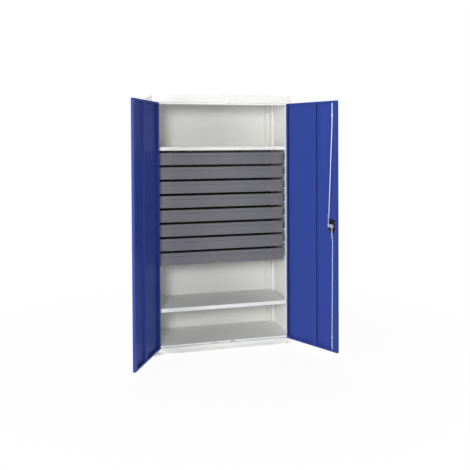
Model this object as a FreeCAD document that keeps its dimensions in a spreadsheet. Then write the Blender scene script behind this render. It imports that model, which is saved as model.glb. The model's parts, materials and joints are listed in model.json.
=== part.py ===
import FreeCAD, Part
import math
import os
import Sketcher
from FreeCAD import Vector

# Drawer cabinet of folded sheet steel: two hinged doors, two shelves and eight shallow drawers.
# X runs across the front to the right, Y from the front to the back and Z up.
# The origin is the middle of the footprint, at the floor.

doc = FreeCAD.newDocument("drawer_cabinet")
sheet = doc.addObject("Spreadsheet::Sheet", "Sizes")

SIZES = {
    # Carcass
    "cabinet_width": "1000",
    "cabinet_depth": "450",
    "cabinet_height": "1800",
    "carcass_sheet": "1.2",
    "stile_width": "24",
    "stile_return": "20",
    "stile_lip": "10",
    "rear_return": "20",
    "fascia_height": "54",
    "top_stop": "11",
    "plinth_height": "24",
    "plinth_setback": "30",
    "plinth_foot": "25",
    "ledge_level": "54",
    "floor_step": "10",
    "bend_radius": "0.9",
    "cut_past": "1",
    # Slotted uprights and the strips beside the rear ones
    "upright_width": "40",
    "upright_height": "20.8",
    "front_upright_setback": "64",
    "slot_pitch": "25",
    "slot_tall": "8",
    "slot_wide": "14",
    "first_slot": "17",
    "last_slot_margin": "20",
    "strip_width": "50",
    "strip_depth": "10",
    "strip_slot_inset": "34",
    # Shelves and their clips
    "shelf_setback": "42",
    "shelf_lip": "26",
    "shelf_lip_return": "12",
    "shelf_side_gap": "1.5",
    "shelf_back_gap": "2.6",
    "lower_shelf_slot": "8",
    "upper_shelf_slot": "53",
    "seat_above_slot": "8",
    "clip_reach": "17",
    "hook_width": "12",
    "clip_ledge_width": "16",
    "clip_ledge_sheet": "1.5",
    "hook_drop": "5",
    "hook_sheet": "2.5",
    "hook_gap": "0.3",
    # Drawers
    "drawer_sheet": "1",
    "top_drawer_slot": "50",
    "drawer_slot_step": "4",
    "front_side_gap": "24",
    "front_height": "83",
    "front_depth": "18",
    "front_lip": "15",
    "front_setback": "57",
    "front_below_slide": "17.5",
    "grip_drop": "22",
    "grip_lean": "2",
    "bead_width": "3",
    "bead_depth": "2",
    "bead_end": "28",
    "front_overhang": "14",
    "tray_back_gap": "7.6",
    "tray_height": "70",
    "tray_lift": "3",
    "tray_hem": "6",
    # Slides
    "slide_sheet": "1.5",
    "runner_height": "18",
    "runner_width": "12",
    "runner_inset": "4",
    "running_gap": "1.8",
    "seat_gap": "0.3",
    "channel_reach": "1.5",
    "channel_lip": "11",
    "channel_setback": "78",
    "drawer_travel": "260",
    "stop_length": "4",
    "stop_gap": "0.5",
    # Doors
    "door_sheet": "1",
    "door_depth": "18",
    "door_side_gap": "1.5",
    "door_centre_gap": "2",
    "door_end_gap": "2",
    "hinge_lip": "16",
    "end_lip": "14",
    "free_lip": "35",
    "door_bend": "0.8",
    "edge_flange": "10",
    "rib_from_centre": "190",
    "rib_width": "30",
    "rib_depth": "14",
    "rib_flange": "10",
    "left_door_angle": "117",
    "right_door_angle": "116",
    # Hinges
    "axis_inset": "0.5",
    "axis_proud": "4.5",
    "barrel_radius": "4.2",
    "pin_radius": "2.3",
    "pin_clearance": "0.1",
    "pin_head_radius": "3.6",
    "pin_head": "1.5",
    "knuckle_height": "20",
    "knuckle_gap": "0.3",
    "leaf_sheet": "2.2",
    "leaf_width": "17",
    "leaf_relief": "0.5",
    "hinge_margin": "144",
    # Rod lock
    "lock_from_centre": "60",
    "lock_height": "904",
    "case_left": "42",
    "case_right": "24",
    "case_above": "42",
    "case_below": "42",
    "case_corner": "22",
    "case_depth": "10",
    "case_gap": "2",
    "spindle_width": "8",
    "neck_radius": "8",
    "neck_gap": "0.3",
    "rosette_radius": "24",
    "rosette_sheet": "4",
    "grip_hub_radius": "17",
    "grip_length": "70",
    "grip_width": "20",
    "grip_height": "18",
    "grip_gap": "0.4",
    "plug_radius": "7.5",
    "plug_depth": "14",
    "plug_gap": "0.3",
    "plug_proud": "1",
    "keyway_wide": "2",
    "keyway_tall": "9",
    "keyway_deep": "5",
    "crank_radius": "16",
    "crank_width": "18",
    "crank_sheet": "3",
    "crank_lift": "1",
    "crank_pin_radius": "3",
    "pin_run_gap": "0.4",
    "foot_sheet": "2",
    "foot_margin": "4",
    "foot_gap": "0.4",
    "foot_tang": "8",
    "tang_length": "35",
    "tang_start": "46",
    "rod_radius": "4",
    "rod_depth": "10",
    "rod_tip_margin": "6",
    "upper_rod_from_centre": "46",
    "lower_rod_from_centre": "50",
    "bend_from_end": "129",
    "guide_from_end": "92",
    "guide_width": "16",
    "guide_height": "12",
    "guide_cover": "1.5",
    "rod_gap": "0.4",
    # Rod bushings and door buffers
    "bushing_wall": "1.9",
    "bushing_seat": "0.2",
    "bushing_flange": "1.5",
    "bushing_flange_sheet": "1",
    "bushing_length": "4",
    "buffer_from_centre": "66",
    "buffer_width": "24",
    "buffer_height": "7",
    "buffer_sheet": "1.4",
}

for row, (alias, number) in enumerate(SIZES.items(), start=1):
    sheet.set("A%d" % row, alias)
    sheet.set("B%d" % row, number)
    sheet.setAlias("B%d" % row, alias)
doc.recompute()

SIDES = {"left": -1, "right": 1}
DRAWERS = 8
AXES = {"x": ("YZ_Plane", 1), "y": ("XZ_Plane", -1), "z": ("XY_Plane", 1)}
PIECES = []


def value(expression):
    """The number that an expression on the sheet's sizes gives."""
    return float(sheet.evalExpression(expression))


# Sketches, pads and pockets

def new_body(label):
    body = doc.addObject("PartDesign::Body", label)
    body.Label = label
    return body


def new_sketch(body, axis, at="0"):
    """An empty sketch square to an axis of its body, at a place along that axis."""
    role, sign = AXES[axis]
    sketch = body.newObject("Sketcher::SketchObject", "outline")
    plane = next(p for p in body.Origin.OriginFeatures if p.Role == role)
    sketch.AttachmentSupport = [(plane, "")]
    sketch.MapMode = "FlatFace"
    sketch.setExpression("AttachmentOffset.Base.z", f"{sign} * ({at})")
    return sketch


def fix_point(sketch, element, point, place):
    """Holds a point of the sketch at a place given by two expressions."""
    for kind, expression in zip(("DistanceX", "DistanceY"), place):
        constraint = Sketcher.Constraint(kind, -1, 1, element, point, value(expression))
        index = sketch.addConstraint(constraint)
        sketch.setExpression(f"Constraints[{index}]", expression)


def add_polygon(sketch, corners):
    """A closed outline through corners given as pairs of expressions."""
    spots = [Vector(value(a), value(b), 0) for a, b in corners]
    first = sketch.GeometryCount
    for start, end in zip(spots, spots[1:] + spots[:1]):
        sketch.addGeometry(Part.LineSegment(start, end))
    for i in range(len(corners)):
        following = first + (i + 1) % len(corners)
        sketch.addConstraint(Sketcher.Constraint("Coincident", first + i, 2, following, 1))
    for i, corner in enumerate(corners):
        fix_point(sketch, first + i, 1, corner)


def add_circle(sketch, centre, radius):
    spot = Vector(value(centre[0]), value(centre[1]), 0)
    element = sketch.addGeometry(Part.Circle(spot, Vector(0, 0, 1), value(radius)))
    fix_point(sketch, element, 3, centre)
    index = sketch.addConstraint(Sketcher.Constraint("Radius", element, value(radius)))
    sketch.setExpression(f"Constraints[{index}]", radius)


def rectangle(across, along):
    return [(across[0], along[0]), (across[1], along[0]), (across[1], along[1]), (across[0], along[1])]


def folded(corners, thickness, turn):
    """Outline of a sheet folded at right angles, its thickness to the left (1) or right (-1)."""
    spots = [(value(a), value(b)) for a, b in corners]
    normals = []
    for (a0, b0), (a1, b1) in zip(spots, spots[1:]):
        length = math.hypot(a1 - a0, b1 - b0)
        normals.append((round(turn * (b0 - b1) / length), round(turn * (a1 - a0) / length)))
    back = []
    for i, (a, b) in enumerate(corners):
        before = normals[max(i - 1, 0)]
        after = normals[min(i, len(normals) - 1)]
        shift = before if before == after else (before[0] + after[0], before[1] + after[1])
        back.append((f"({a}) + ({shift[0]}) * {thickness}", f"({b}) + ({shift[1]}) * {thickness}"))
    return corners + back[::-1]


def add(body, axis, at, length, *outlines):
    """Pads closed outlines from a place on an axis, towards its far end."""
    sketch = new_sketch(body, axis, at)
    for draw in outlines:
        draw(sketch)
    pad = body.newObject("PartDesign::Pad", "pad")
    pad.Profile = sketch
    pad.setExpression("Length", length)
    pad.Reversed = axis == "y"
    sketch.Visibility = False
    return pad


def cut(body, axis, at, length, *outlines):
    """Takes closed outlines out of the body from a place on an axis, towards its far end."""
    doc.recompute()
    before = body.Shape.Volume
    sketch = new_sketch(body, axis, at)
    for draw in outlines:
        draw(sketch)
    pocket = body.newObject("PartDesign::Pocket", "pocket")
    pocket.Profile = sketch
    pocket.setExpression("Length", length)
    pocket.Reversed = axis != "y"
    sketch.Visibility = False
    doc.recompute()
    if body.Shape.Volume >= before:
        raise RuntimeError(body.Label + ": a pocket took nothing away")
    return pocket


def outline(corners):
    return lambda sketch: add_polygon(sketch, corners)


def ring(centre, radius):
    return lambda sketch: add_circle(sketch, centre, radius)


def block(body, across, along, up, take_away=False):
    """A box between pairs of expressions along X, Y and Z, added or taken away."""
    make = cut if take_away else add
    return make(body, "z", up[0], f"({up[1]}) - ({up[0]})", outline(rectangle(across, along)))


def soften(body, radius, chosen):
    """Rounds the edges of the body that a test picks."""
    doc.recompute()
    base = body.Tip
    names = [f"Edge{i}" for i, edge in enumerate(base.Shape.Edges, start=1) if chosen(edge)]
    if not names:
        raise RuntimeError(body.Label + ": no edge to round")
    fillet = body.newObject("PartDesign::Fillet", "bends")
    fillet.Base = (base, names)
    fillet.setExpression("Radius", radius)
    return fillet


def upright_edge_at(places):
    """A test for long vertical edges that stand at one of the places."""
    spots = [(value(a), value(b)) for a, b in places]

    def chosen(edge):
        box = edge.BoundBox
        if box.ZLength < 1 or box.XLength > 0.01 or box.YLength > 0.01:
            return False
        return any(math.hypot(box.XMin - a, box.YMin - b) < 0.01 for a, b in spots)
    return chosen


def level_edge_at(places):
    """A test for edges along X that lie at one of the places in Y and Z."""
    spots = [(value(a), value(b)) for a, b in places]

    def chosen(edge):
        box = edge.BoundBox
        if box.XLength < 1 or box.YLength > 0.01 or box.ZLength > 0.01:
            return False
        return any(math.hypot(box.YMin - a, box.ZMin - b) < 0.01 for a, b in spots)
    return chosen


def finish(piece):
    """Counts a body or a group as one of the pieces that are written."""
    PIECES.append(piece)
    return piece


def group(label, members):
    """Like solids that share one name."""
    compound = doc.addObject("Part::Compound", label)
    compound.Label = label
    compound.Links = members
    return finish(compound)


# Places that several pieces share, as expressions on the sizes

HALF = "Sizes.cabinet_width / 2"
FRONT = "(-Sizes.cabinet_depth / 2)"
BACK = "(Sizes.cabinet_depth / 2)"
SHEET = "Sizes.carcass_sheet"
WALL = f"({HALF} - {SHEET})"
STILE = f"({HALF} - Sizes.stile_width)"
TOP = "Sizes.cabinet_height"
HEAD = f"({TOP} - Sizes.fascia_height)"
LEDGE = "Sizes.ledge_level"
FLOOR = "(Sizes.ledge_level + Sizes.floor_step)"
STOP_FACE = f"({FRONT} + Sizes.stile_return)"
BACK_FACE = f"({BACK} - 2 * {SHEET})"
UPRIGHT_FACE = f"({WALL} - Sizes.upright_height)"
FRONT_UPRIGHT = f"({FRONT} + Sizes.front_upright_setback)"
REAR_UPRIGHT = f"({BACK_FACE} - Sizes.upright_width)"
STRIP_FACE = f"({BACK_FACE} - Sizes.strip_depth)"
UPRIGHTS = {"front": FRONT_UPRIGHT, "rear": REAR_UPRIGHT}
UPRIGHT_LENGTH = f"({TOP} - {SHEET} - {FLOOR})"


def slot_level(number):
    """Height of the middle of a slot of the uprights, counted from 0 at the floor."""
    return f"({FLOOR} + Sizes.first_slot + ({number}) * Sizes.slot_pitch)"


# Carcass

def side_panel(word, side):
    """Side wall with the front stile and the rear return folded on it."""
    body = new_body(f"{word}_side_panel")
    lip_end = f"{side} * ({STILE} + Sizes.stile_lip)"
    corners = [
        (lip_end, STOP_FACE),
        (f"{side} * {STILE}", STOP_FACE),
        (f"{side} * {STILE}", FRONT),
        (f"{side} * {HALF}", FRONT),
        (f"{side} * {HALF}", BACK),
        (f"{side} * ({HALF} - Sizes.rear_return)", BACK),
    ]
    add(body, "z", "0", TOP, outline(folded(corners, SHEET, side)))
    block(body, (f"{side} * ({STILE} - Sizes.cut_past)", f"{side} * {WALL}"),
          (f"{FRONT} - Sizes.cut_past", f"{STOP_FACE} + Sizes.cut_past"),
          (HEAD, f"{TOP} + Sizes.cut_past"), take_away=True)
    bends = [corners[2], corners[3], corners[4]]
    soften(body, "Sizes.bend_radius", upright_edge_at(bends))
    return finish(body)


def back_panel():
    body = new_body("back_panel")
    block(body, (f"-{WALL}", WALL), (BACK_FACE, f"{BACK} - {SHEET}"), ("0", TOP))
    return finish(body)


def top_panel():
    """Top sheet with the fascia, the ledge under it and the stop that the doors close on."""
    body = new_body("top_panel")
    cover = [(FRONT, HEAD), (FRONT, TOP), (BACK_FACE, TOP)]
    add(body, "x", f"-{WALL}", f"2 * {WALL}", outline(folded(cover, SHEET, -1)))
    ledge = [(f"{FRONT} + {SHEET}", HEAD), (STOP_FACE, HEAD), (STOP_FACE, f"{HEAD} - Sizes.top_stop")]
    add(body, "x", f"-{STILE}", f"2 * {STILE}", outline(folded(ledge, SHEET, 1)))
    soften(body, "Sizes.bend_radius", level_edge_at([(FRONT, TOP)]))
    cut(body, "z", f"{HEAD} - Sizes.cut_past", f"{SHEET} + 2 * Sizes.cut_past",
        ring(BUSHING_PLACES[1][:2], BUSHING_HOLE))
    return finish(body)


def bottom_panel():
    """Front rail, ledge, stop and floor, folded from one sheet."""
    body = new_body("bottom_panel")
    rail = [
        (f"{FRONT} + Sizes.stile_return", "Sizes.plinth_height"),
        (FRONT, "Sizes.plinth_height"),
        (FRONT, LEDGE),
        (STOP_FACE, LEDGE),
        (STOP_FACE, FLOOR),
        (f"{STOP_FACE} + 2 * {SHEET}", FLOOR),
    ]
    add(body, "x", f"-{STILE}", f"2 * {STILE}", outline(folded(rail, SHEET, -1)))
    block(body, (f"-{WALL}", WALL), (f"{STOP_FACE} + {SHEET}", BACK_FACE), (f"{FLOOR} - {SHEET}", FLOOR))
    soften(body, "Sizes.bend_radius", level_edge_at([(FRONT, "Sizes.plinth_height"), (FRONT, LEDGE)]))
    cut(body, "z", f"{LEDGE} - {SHEET} - Sizes.cut_past", f"{SHEET} + 2 * Sizes.cut_past",
        ring(BUSHING_PLACES[0][:2], BUSHING_HOLE))
    return finish(body)


def plinth_frame():
    """Frame under the floor on which the cabinet stands: a foot all round, a wall front and rear."""
    body = new_body("plinth_frame")
    front_face = f"({FRONT} + Sizes.plinth_setback)"
    foot = "Sizes.plinth_foot"
    under_floor = f"({FLOOR} - {SHEET})"
    outside = rectangle((f"-{WALL}", WALL), (front_face, BACK_FACE))
    inside = rectangle((f"-{WALL} + {foot}", f"{WALL} - {foot}"),
                       (f"{front_face} + {foot}", f"{BACK_FACE} - {foot}"))
    add(body, "z", "0", SHEET, outline(outside), outline(inside))
    for face, inward in ((front_face, 1), (BACK_FACE, -1)):
        corners = [(face, SHEET), (face, under_floor), (f"{face} + ({inward}) * {foot}", under_floor)]
        add(body, "x", f"-{WALL}", f"2 * {WALL}", outline(folded(corners, SHEET, -inward)))
    return finish(body)


def slot_row(body, axis, face, middle):
    """Punches the row of slots through a sheet that starts at a face, along an upright line."""
    across = (f"{middle} - Sizes.slot_wide / 2", f"{middle} + Sizes.slot_wide / 2")
    up = (f"{slot_level(0)} - Sizes.slot_tall / 2", f"{slot_level(0)} + Sizes.slot_tall / 2")
    slot = cut(body, axis, f"{face} - Sizes.cut_past", f"{SHEET} + 2 * Sizes.cut_past",
               outline(rectangle(across, up)))
    pattern = body.newObject("PartDesign::LinearPattern", "slots")
    pattern.Originals = [slot]
    pattern.Direction = (slot.Profile[0], ["V_Axis"])
    count = f"floor(({UPRIGHT_LENGTH} - Sizes.first_slot - Sizes.last_slot_margin) / Sizes.slot_pitch) + 1"
    pattern.Mode = "Spacing"
    pattern.setExpression("Offset", "Sizes.slot_pitch")
    pattern.setExpression("Occurrences", count)
    body.Tip = pattern


def upright(word, side, place, near_face):
    """Slotted channel welded to the side wall."""
    body = new_body(f"{word}_{place}_upright")
    far_face = f"({near_face} + Sizes.upright_width)"
    corners = [
        (f"{side} * {WALL}", near_face),
        (f"{side} * {UPRIGHT_FACE}", near_face),
        (f"{side} * {UPRIGHT_FACE}", far_face),
        (f"{side} * {WALL}", far_face),
    ]
    add(body, "z", FLOOR, UPRIGHT_LENGTH, outline(folded(corners, SHEET, -side)))
    start = UPRIGHT_FACE if side > 0 else f"-{UPRIGHT_FACE} - {SHEET}"
    slot_row(body, "x", start, f"({near_face} + Sizes.upright_width / 2)")
    return finish(body)


def rear_strips():
    """Slotted channels welded to the back panel, one beside each rear upright."""
    strips = []
    for word, side in SIDES.items():
        body = new_body(f"{word}_rear_strip")
        inner = f"{side} * ({UPRIGHT_FACE} - Sizes.strip_width)"
        outer = f"{side} * {UPRIGHT_FACE}"
        corners = [(outer, BACK_FACE), (outer, STRIP_FACE), (inner, STRIP_FACE), (inner, BACK_FACE)]
        add(body, "z", FLOOR, UPRIGHT_LENGTH, outline(folded(corners, SHEET, -side)))
        slot_row(body, "y", STRIP_FACE, f"({side} * ({UPRIGHT_FACE} - Sizes.strip_slot_inset))")
        strips.append(body)
    return group("rear_strips", strips)


# Shelves

def shelf(word, slot_number):
    """Shelf folded down on four sides, with a second fold along the front."""
    body = new_body(f"{word}_shelf")
    side = f"({UPRIGHT_FACE} - Sizes.shelf_side_gap)"
    near = f"({FRONT} + Sizes.shelf_setback)"
    far = f"({STRIP_FACE} - Sizes.shelf_back_gap)"
    bottom = f"({slot_level(slot_number)} + Sizes.seat_above_slot)"
    top = f"({bottom} + Sizes.shelf_lip)"
    block(body, (f"-{side}", side), (near, far), (bottom, top))
    block(body, (f"-{side} + {SHEET}", f"{side} - {SHEET}"), (f"{near} + {SHEET}", f"{far} - {SHEET}"),
          (f"{bottom} - Sizes.cut_past", f"{top} - {SHEET}"), take_away=True)
    block(body, (f"-{side} + {SHEET}", f"{side} - {SHEET}"), (near, f"{near} + Sizes.shelf_lip_return"),
          (bottom, f"{bottom} + {SHEET}"))
    soften(body, "Sizes.bend_radius", level_edge_at([(near, top), (near, bottom)]))
    return finish(body)


def shelf_clip(name, side, near_face, slot_number):
    """Hook through a slot of the upright, with a ledge on which the shelf lies."""
    body = new_body(name)
    middle = f"({near_face} + Sizes.upright_width / 2)"
    slot = slot_level(slot_number)
    seat = f"({slot} + Sizes.seat_above_slot)"
    face = f"({UPRIGHT_FACE} - Sizes.hook_gap)"
    hook = hook_corners(side, slot, seat, f"{face} - Sizes.clip_reach", face)
    add(body, "y", f"{middle} - Sizes.hook_width / 2", "Sizes.hook_width", outline(hook))
    block(body, (f"{side} * ({face} - Sizes.clip_reach)", f"{side} * {face}"),
          (f"{middle} - Sizes.clip_ledge_width / 2", f"{middle} + Sizes.clip_ledge_width / 2"),
          (f"{seat} - Sizes.clip_ledge_sheet", seat))
    return body


def hook_corners(side, slot, top, inner, face):
    """A gusset from an inner end to the upright, with a hook through the slot and down behind it."""
    under_slot = f"({slot} - Sizes.slot_tall / 2 + Sizes.hook_gap)"
    behind = f"({UPRIGHT_FACE} + {SHEET} + Sizes.hook_gap)"
    tip = f"({behind} + Sizes.hook_sheet)"
    return [
        (f"{side} * ({inner})", top),
        (f"{side} * ({inner})", f"{top} - 2 * Sizes.clip_ledge_sheet"),
        (f"{side} * {face}", f"{slot} - Sizes.slot_tall / 2"),
        (f"{side} * {face}", under_slot),
        (f"{side} * {behind}", under_slot),
        (f"{side} * {behind}", f"{under_slot} - Sizes.hook_drop"),
        (f"{side} * {tip}", f"{under_slot} - Sizes.hook_drop"),
        (f"{side} * {tip}", f"{slot} + Sizes.slot_tall / 2 - Sizes.hook_gap"),
        (f"{side} * {face}", f"{slot} + Sizes.slot_tall / 2 - Sizes.hook_gap"),
        (f"{side} * {face}", top),
    ]


# Drawers and slides. A drawer's pieces are drawn round the level of its slides.

FRONT_FACE = f"({FRONT} + Sizes.front_setback)"
FRONT_REAR = f"({FRONT_FACE} + Sizes.front_depth)"
FRONT_BOTTOM = "(-Sizes.front_below_slide)"
FRONT_TOP = f"({FRONT_BOTTOM} + Sizes.front_height)"
FRONT_HALF = f"({UPRIGHT_FACE} - Sizes.front_side_gap)"
TRAY_SIDE = f"({FRONT_HALF} - Sizes.front_overhang)"
TRAY_REAR = f"({STRIP_FACE} - Sizes.tray_back_gap)"
DRAWER_SHEET = "Sizes.drawer_sheet"
SLIDE_SHEET = "Sizes.slide_sheet"
RUNNER_HALF = "(Sizes.runner_height / 2)"
RUNNER_END = f"({TRAY_SIDE} + Sizes.runner_width)"
CHANNEL_ROOF = f"({RUNNER_HALF} + Sizes.running_gap)"
CHANNEL_SEAT = f"({RUNNER_HALF} + Sizes.seat_gap)"
CHANNEL_WEB = f"({RUNNER_END} + Sizes.channel_reach)"
CHANNEL_START = f"({FRONT} + Sizes.channel_setback)"
RUNNER_REAR = f"({TRAY_REAR} - Sizes.runner_inset)"


def slide_level(number):
    return slot_level(f"Sizes.top_drawer_slot - {number - 1} * Sizes.drawer_slot_step")


def at_slide_level(body, number):
    body.setExpression("Placement.Base.z", slide_level(number))
    return body


def drawer_front(number):
    """Folded front with lips behind; its top strip leans back over a bead pressed in across it."""
    body = at_slide_level(new_body(f"drawer_{number}_front"), number)
    half = FRONT_HALF
    crease = f"({FRONT_TOP} - Sizes.grip_drop)"
    lean = f"({FRONT_FACE} + Sizes.grip_lean)"
    outside = [(FRONT_FACE, FRONT_BOTTOM), (FRONT_FACE, crease), (lean, FRONT_TOP),
               (FRONT_REAR, FRONT_TOP), (FRONT_REAR, FRONT_BOTTOM)]
    inside = [
        (f"{FRONT_FACE} + {DRAWER_SHEET}", f"{FRONT_BOTTOM} + {DRAWER_SHEET}"),
        (f"{FRONT_FACE} + {DRAWER_SHEET}", crease),
        (f"{lean} + {DRAWER_SHEET}", f"{FRONT_TOP} - {DRAWER_SHEET}"),
        (f"{FRONT_REAR} - {DRAWER_SHEET}", f"{FRONT_TOP} - {DRAWER_SHEET}"),
        (f"{FRONT_REAR} - {DRAWER_SHEET}", f"{FRONT_BOTTOM} + {DRAWER_SHEET}"),
    ]
    add(body, "x", f"-{half}", f"2 * {half}", outline(outside))
    cut(body, "x", f"-{half} + {DRAWER_SHEET}", f"2 * ({half} - {DRAWER_SHEET})", outline(inside))
    lip = "Sizes.front_lip"
    block(body, (f"-{half} + {lip}", f"{half} - {lip}"),
          (f"{FRONT_REAR} - {DRAWER_SHEET}", f"{FRONT_REAR} + Sizes.cut_past"),
          (f"{FRONT_BOTTOM} + {lip}", f"{FRONT_TOP} - {lip}"), take_away=True)
    bead_half = f"({half} - Sizes.bead_end)"
    ridge = f"(Sizes.bead_width / 2 + {DRAWER_SHEET})"
    ridge_end = f"({bead_half} + {DRAWER_SHEET})"
    block(body, (f"-{ridge_end}", ridge_end),
          (f"{FRONT_FACE} + {DRAWER_SHEET} / 2", f"{FRONT_FACE} + Sizes.bead_depth + {DRAWER_SHEET}"),
          (f"{crease} - 2 * {ridge}", crease))
    bead = [
        (f"{FRONT_FACE} - Sizes.cut_past", f"{crease} - {DRAWER_SHEET}"),
        (FRONT_FACE, f"{crease} - {DRAWER_SHEET}"),
        (f"{FRONT_FACE} + Sizes.bead_depth", f"{crease} - {DRAWER_SHEET} - Sizes.bead_width / 3"),
        (f"{FRONT_FACE} + Sizes.bead_depth", f"{crease} - {DRAWER_SHEET} - Sizes.bead_width * 2 / 3"),
        (FRONT_FACE, f"{crease} - {DRAWER_SHEET} - Sizes.bead_width"),
        (f"{FRONT_FACE} - Sizes.cut_past", f"{crease} - {DRAWER_SHEET} - Sizes.bead_width"),
    ]
    cut(body, "x", f"-{bead_half}", f"2 * {bead_half}", outline(bead))
    soften(body, "Sizes.door_bend",
           level_edge_at([(lean, FRONT_TOP), (FRONT_FACE, FRONT_BOTTOM)]))
    return finish(body)


def drawer_tray(number):
    """Open tray behind the front, with a hem folded out along its top edges."""
    body = at_slide_level(new_body(f"drawer_{number}_tray"), number)
    bottom = f"({FRONT_BOTTOM} + Sizes.tray_lift)"
    top = f"({bottom} + Sizes.tray_height)"
    block(body, (f"-{TRAY_SIDE}", TRAY_SIDE), (FRONT_REAR, TRAY_REAR), (bottom, top))
    block(body, (f"-{TRAY_SIDE} + {DRAWER_SHEET}", f"{TRAY_SIDE} - {DRAWER_SHEET}"),
          (f"{FRONT_REAR} + {DRAWER_SHEET}", f"{TRAY_REAR} - {DRAWER_SHEET}"),
          (f"{bottom} + {DRAWER_SHEET}", f"{top} + Sizes.cut_past"), take_away=True)
    for side in SIDES.values():
        block(body, (f"{side} * ({TRAY_SIDE} - {DRAWER_SHEET})", f"{side} * ({TRAY_SIDE} + Sizes.tray_hem)"),
              (FRONT_REAR, TRAY_REAR), (f"{top} - {DRAWER_SHEET}", top))
    return finish(body)


def drawer_runners(number):
    """Channel-shaped runner on each side of the tray, with a stop at its rear end."""
    runners = []
    for word, side in SIDES.items():
        body = at_slide_level(new_body(f"drawer_{number}_{word}_runner"), number)
        corners = [
            (f"{side} * {RUNNER_END}", RUNNER_HALF),
            (f"{side} * {TRAY_SIDE}", RUNNER_HALF),
            (f"{side} * {TRAY_SIDE}", f"-{RUNNER_HALF}"),
            (f"{side} * {RUNNER_END}", f"-{RUNNER_HALF}"),
        ]
        start = f"({FRONT_REAR} + Sizes.runner_inset)"
        add(body, "y", start, f"{RUNNER_REAR} - {start}", outline(folded(corners, SLIDE_SHEET, side)))
        block(body, (f"{side} * ({RUNNER_END} - 2 * {SLIDE_SHEET})", f"{side} * {RUNNER_END}"),
              (f"{RUNNER_REAR} - Sizes.stop_length", RUNNER_REAR),
              (f"{RUNNER_HALF} - {SLIDE_SHEET} / 2", f"{CHANNEL_ROOF} - Sizes.stop_gap"))
        runners.append(body)
    return group(f"drawer_{number}_runners", runners)


def slide_channel(name, side, number):
    """Channel that holds a runner, with a bracket to the front and the rear upright."""
    body = at_slide_level(new_body(name), number)
    mouth = f"({CHANNEL_WEB} + {SLIDE_SHEET} - Sizes.channel_lip)"
    web = f"({CHANNEL_WEB} + {SLIDE_SHEET})"
    roof = f"({CHANNEL_ROOF} + {SLIDE_SHEET})"
    seat = f"-({CHANNEL_SEAT} + {SLIDE_SHEET})"
    corners = [(f"{side} * {mouth}", roof), (f"{side} * {web}", roof),
               (f"{side} * {web}", seat), (f"{side} * {mouth}", seat)]
    rear = f"({STRIP_FACE} - Sizes.runner_inset)"
    add(body, "y", CHANNEL_START, f"{rear} - {CHANNEL_START}", outline(folded(corners, SLIDE_SHEET, -side)))
    lug_end = f"({RUNNER_REAR} - Sizes.drawer_travel - Sizes.stop_length - Sizes.stop_gap)"
    block(body, (f"{side} * ({RUNNER_END} - 2 * {SLIDE_SHEET})", f"{side} * {RUNNER_END}"),
          (f"{lug_end} - Sizes.stop_length", lug_end),
          (f"{RUNNER_HALF} + Sizes.stop_gap", f"{CHANNEL_ROOF} + {SLIDE_SHEET} / 2"))
    face = f"({UPRIGHT_FACE} - Sizes.hook_gap)"
    for near_face in UPRIGHTS.values():
        middle = f"({near_face} + Sizes.upright_width / 2)"
        top = "Sizes.slot_tall / 2 + Sizes.clip_ledge_sheet"
        hook = hook_corners(side, "0", top, f"{web} - {SLIDE_SHEET} / 2", face)
        add(body, "y", f"{middle} - Sizes.hook_width / 2", "Sizes.hook_width", outline(hook))
    return body


# Doors. A door's pieces are drawn shut, round its hinge axis, and turned open by its angle.

AXIS_X = f"({STILE} - Sizes.axis_inset)"
DOOR_SHEET = "Sizes.door_sheet"
DOOR_EDGE = f"({STILE} - Sizes.door_side_gap)"
DOOR_FREE = "(Sizes.door_centre_gap / 2)"
DOOR_BOTTOM = f"({LEDGE} + Sizes.door_end_gap)"
DOOR_TOP = f"({HEAD} - Sizes.door_end_gap)"
LIP_END = f"({DOOR_FREE} + Sizes.free_lip)"
ROD_LINES = {"lower": "Sizes.lower_rod_from_centre", "upper": "Sizes.upper_rod_from_centre"}
ROD_Y = f"({FRONT} + Sizes.rod_depth)"
ROD_BORE = "(Sizes.rod_radius + Sizes.rod_gap)"
BUSHING_BORE = f"({ROD_BORE} + Sizes.rod_gap)"
BUSHING_OUTSIDE = f"({BUSHING_BORE} + Sizes.bushing_wall)"
BUSHING_HOLE = f"({BUSHING_OUTSIDE} + Sizes.bushing_seat)"
BUSHING_PLACES = [
    (ROD_LINES["lower"], ROD_Y, LEDGE, -1),
    (ROD_LINES["upper"], ROD_Y, HEAD, 1),
]


def door_x(side, from_centre):
    """Place across a shut door, from the cabinet's middle, seen from the hinge axis."""
    return f"{side} * (({from_centre}) - {AXIS_X})"


def door_y(depth):
    """Place behind the front plane of a shut door, seen from the hinge axis."""
    return f"(({depth}) + Sizes.axis_proud)"


def hang(body, word, side):
    """Sets a piece on its door's hinge axis, turned open."""
    body.setExpression("Placement.Base.x", f"{side} * {AXIS_X}")
    body.setExpression("Placement.Base.y", f"{FRONT} - Sizes.axis_proud")
    angle = f"{side} * Sizes.{word}_door_angle"
    body.Placement.Rotation = FreeCAD.Rotation(Vector(0, 0, 1), value(angle))
    body.setExpression("Placement.Rotation.Angle", angle)
    return body


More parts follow.
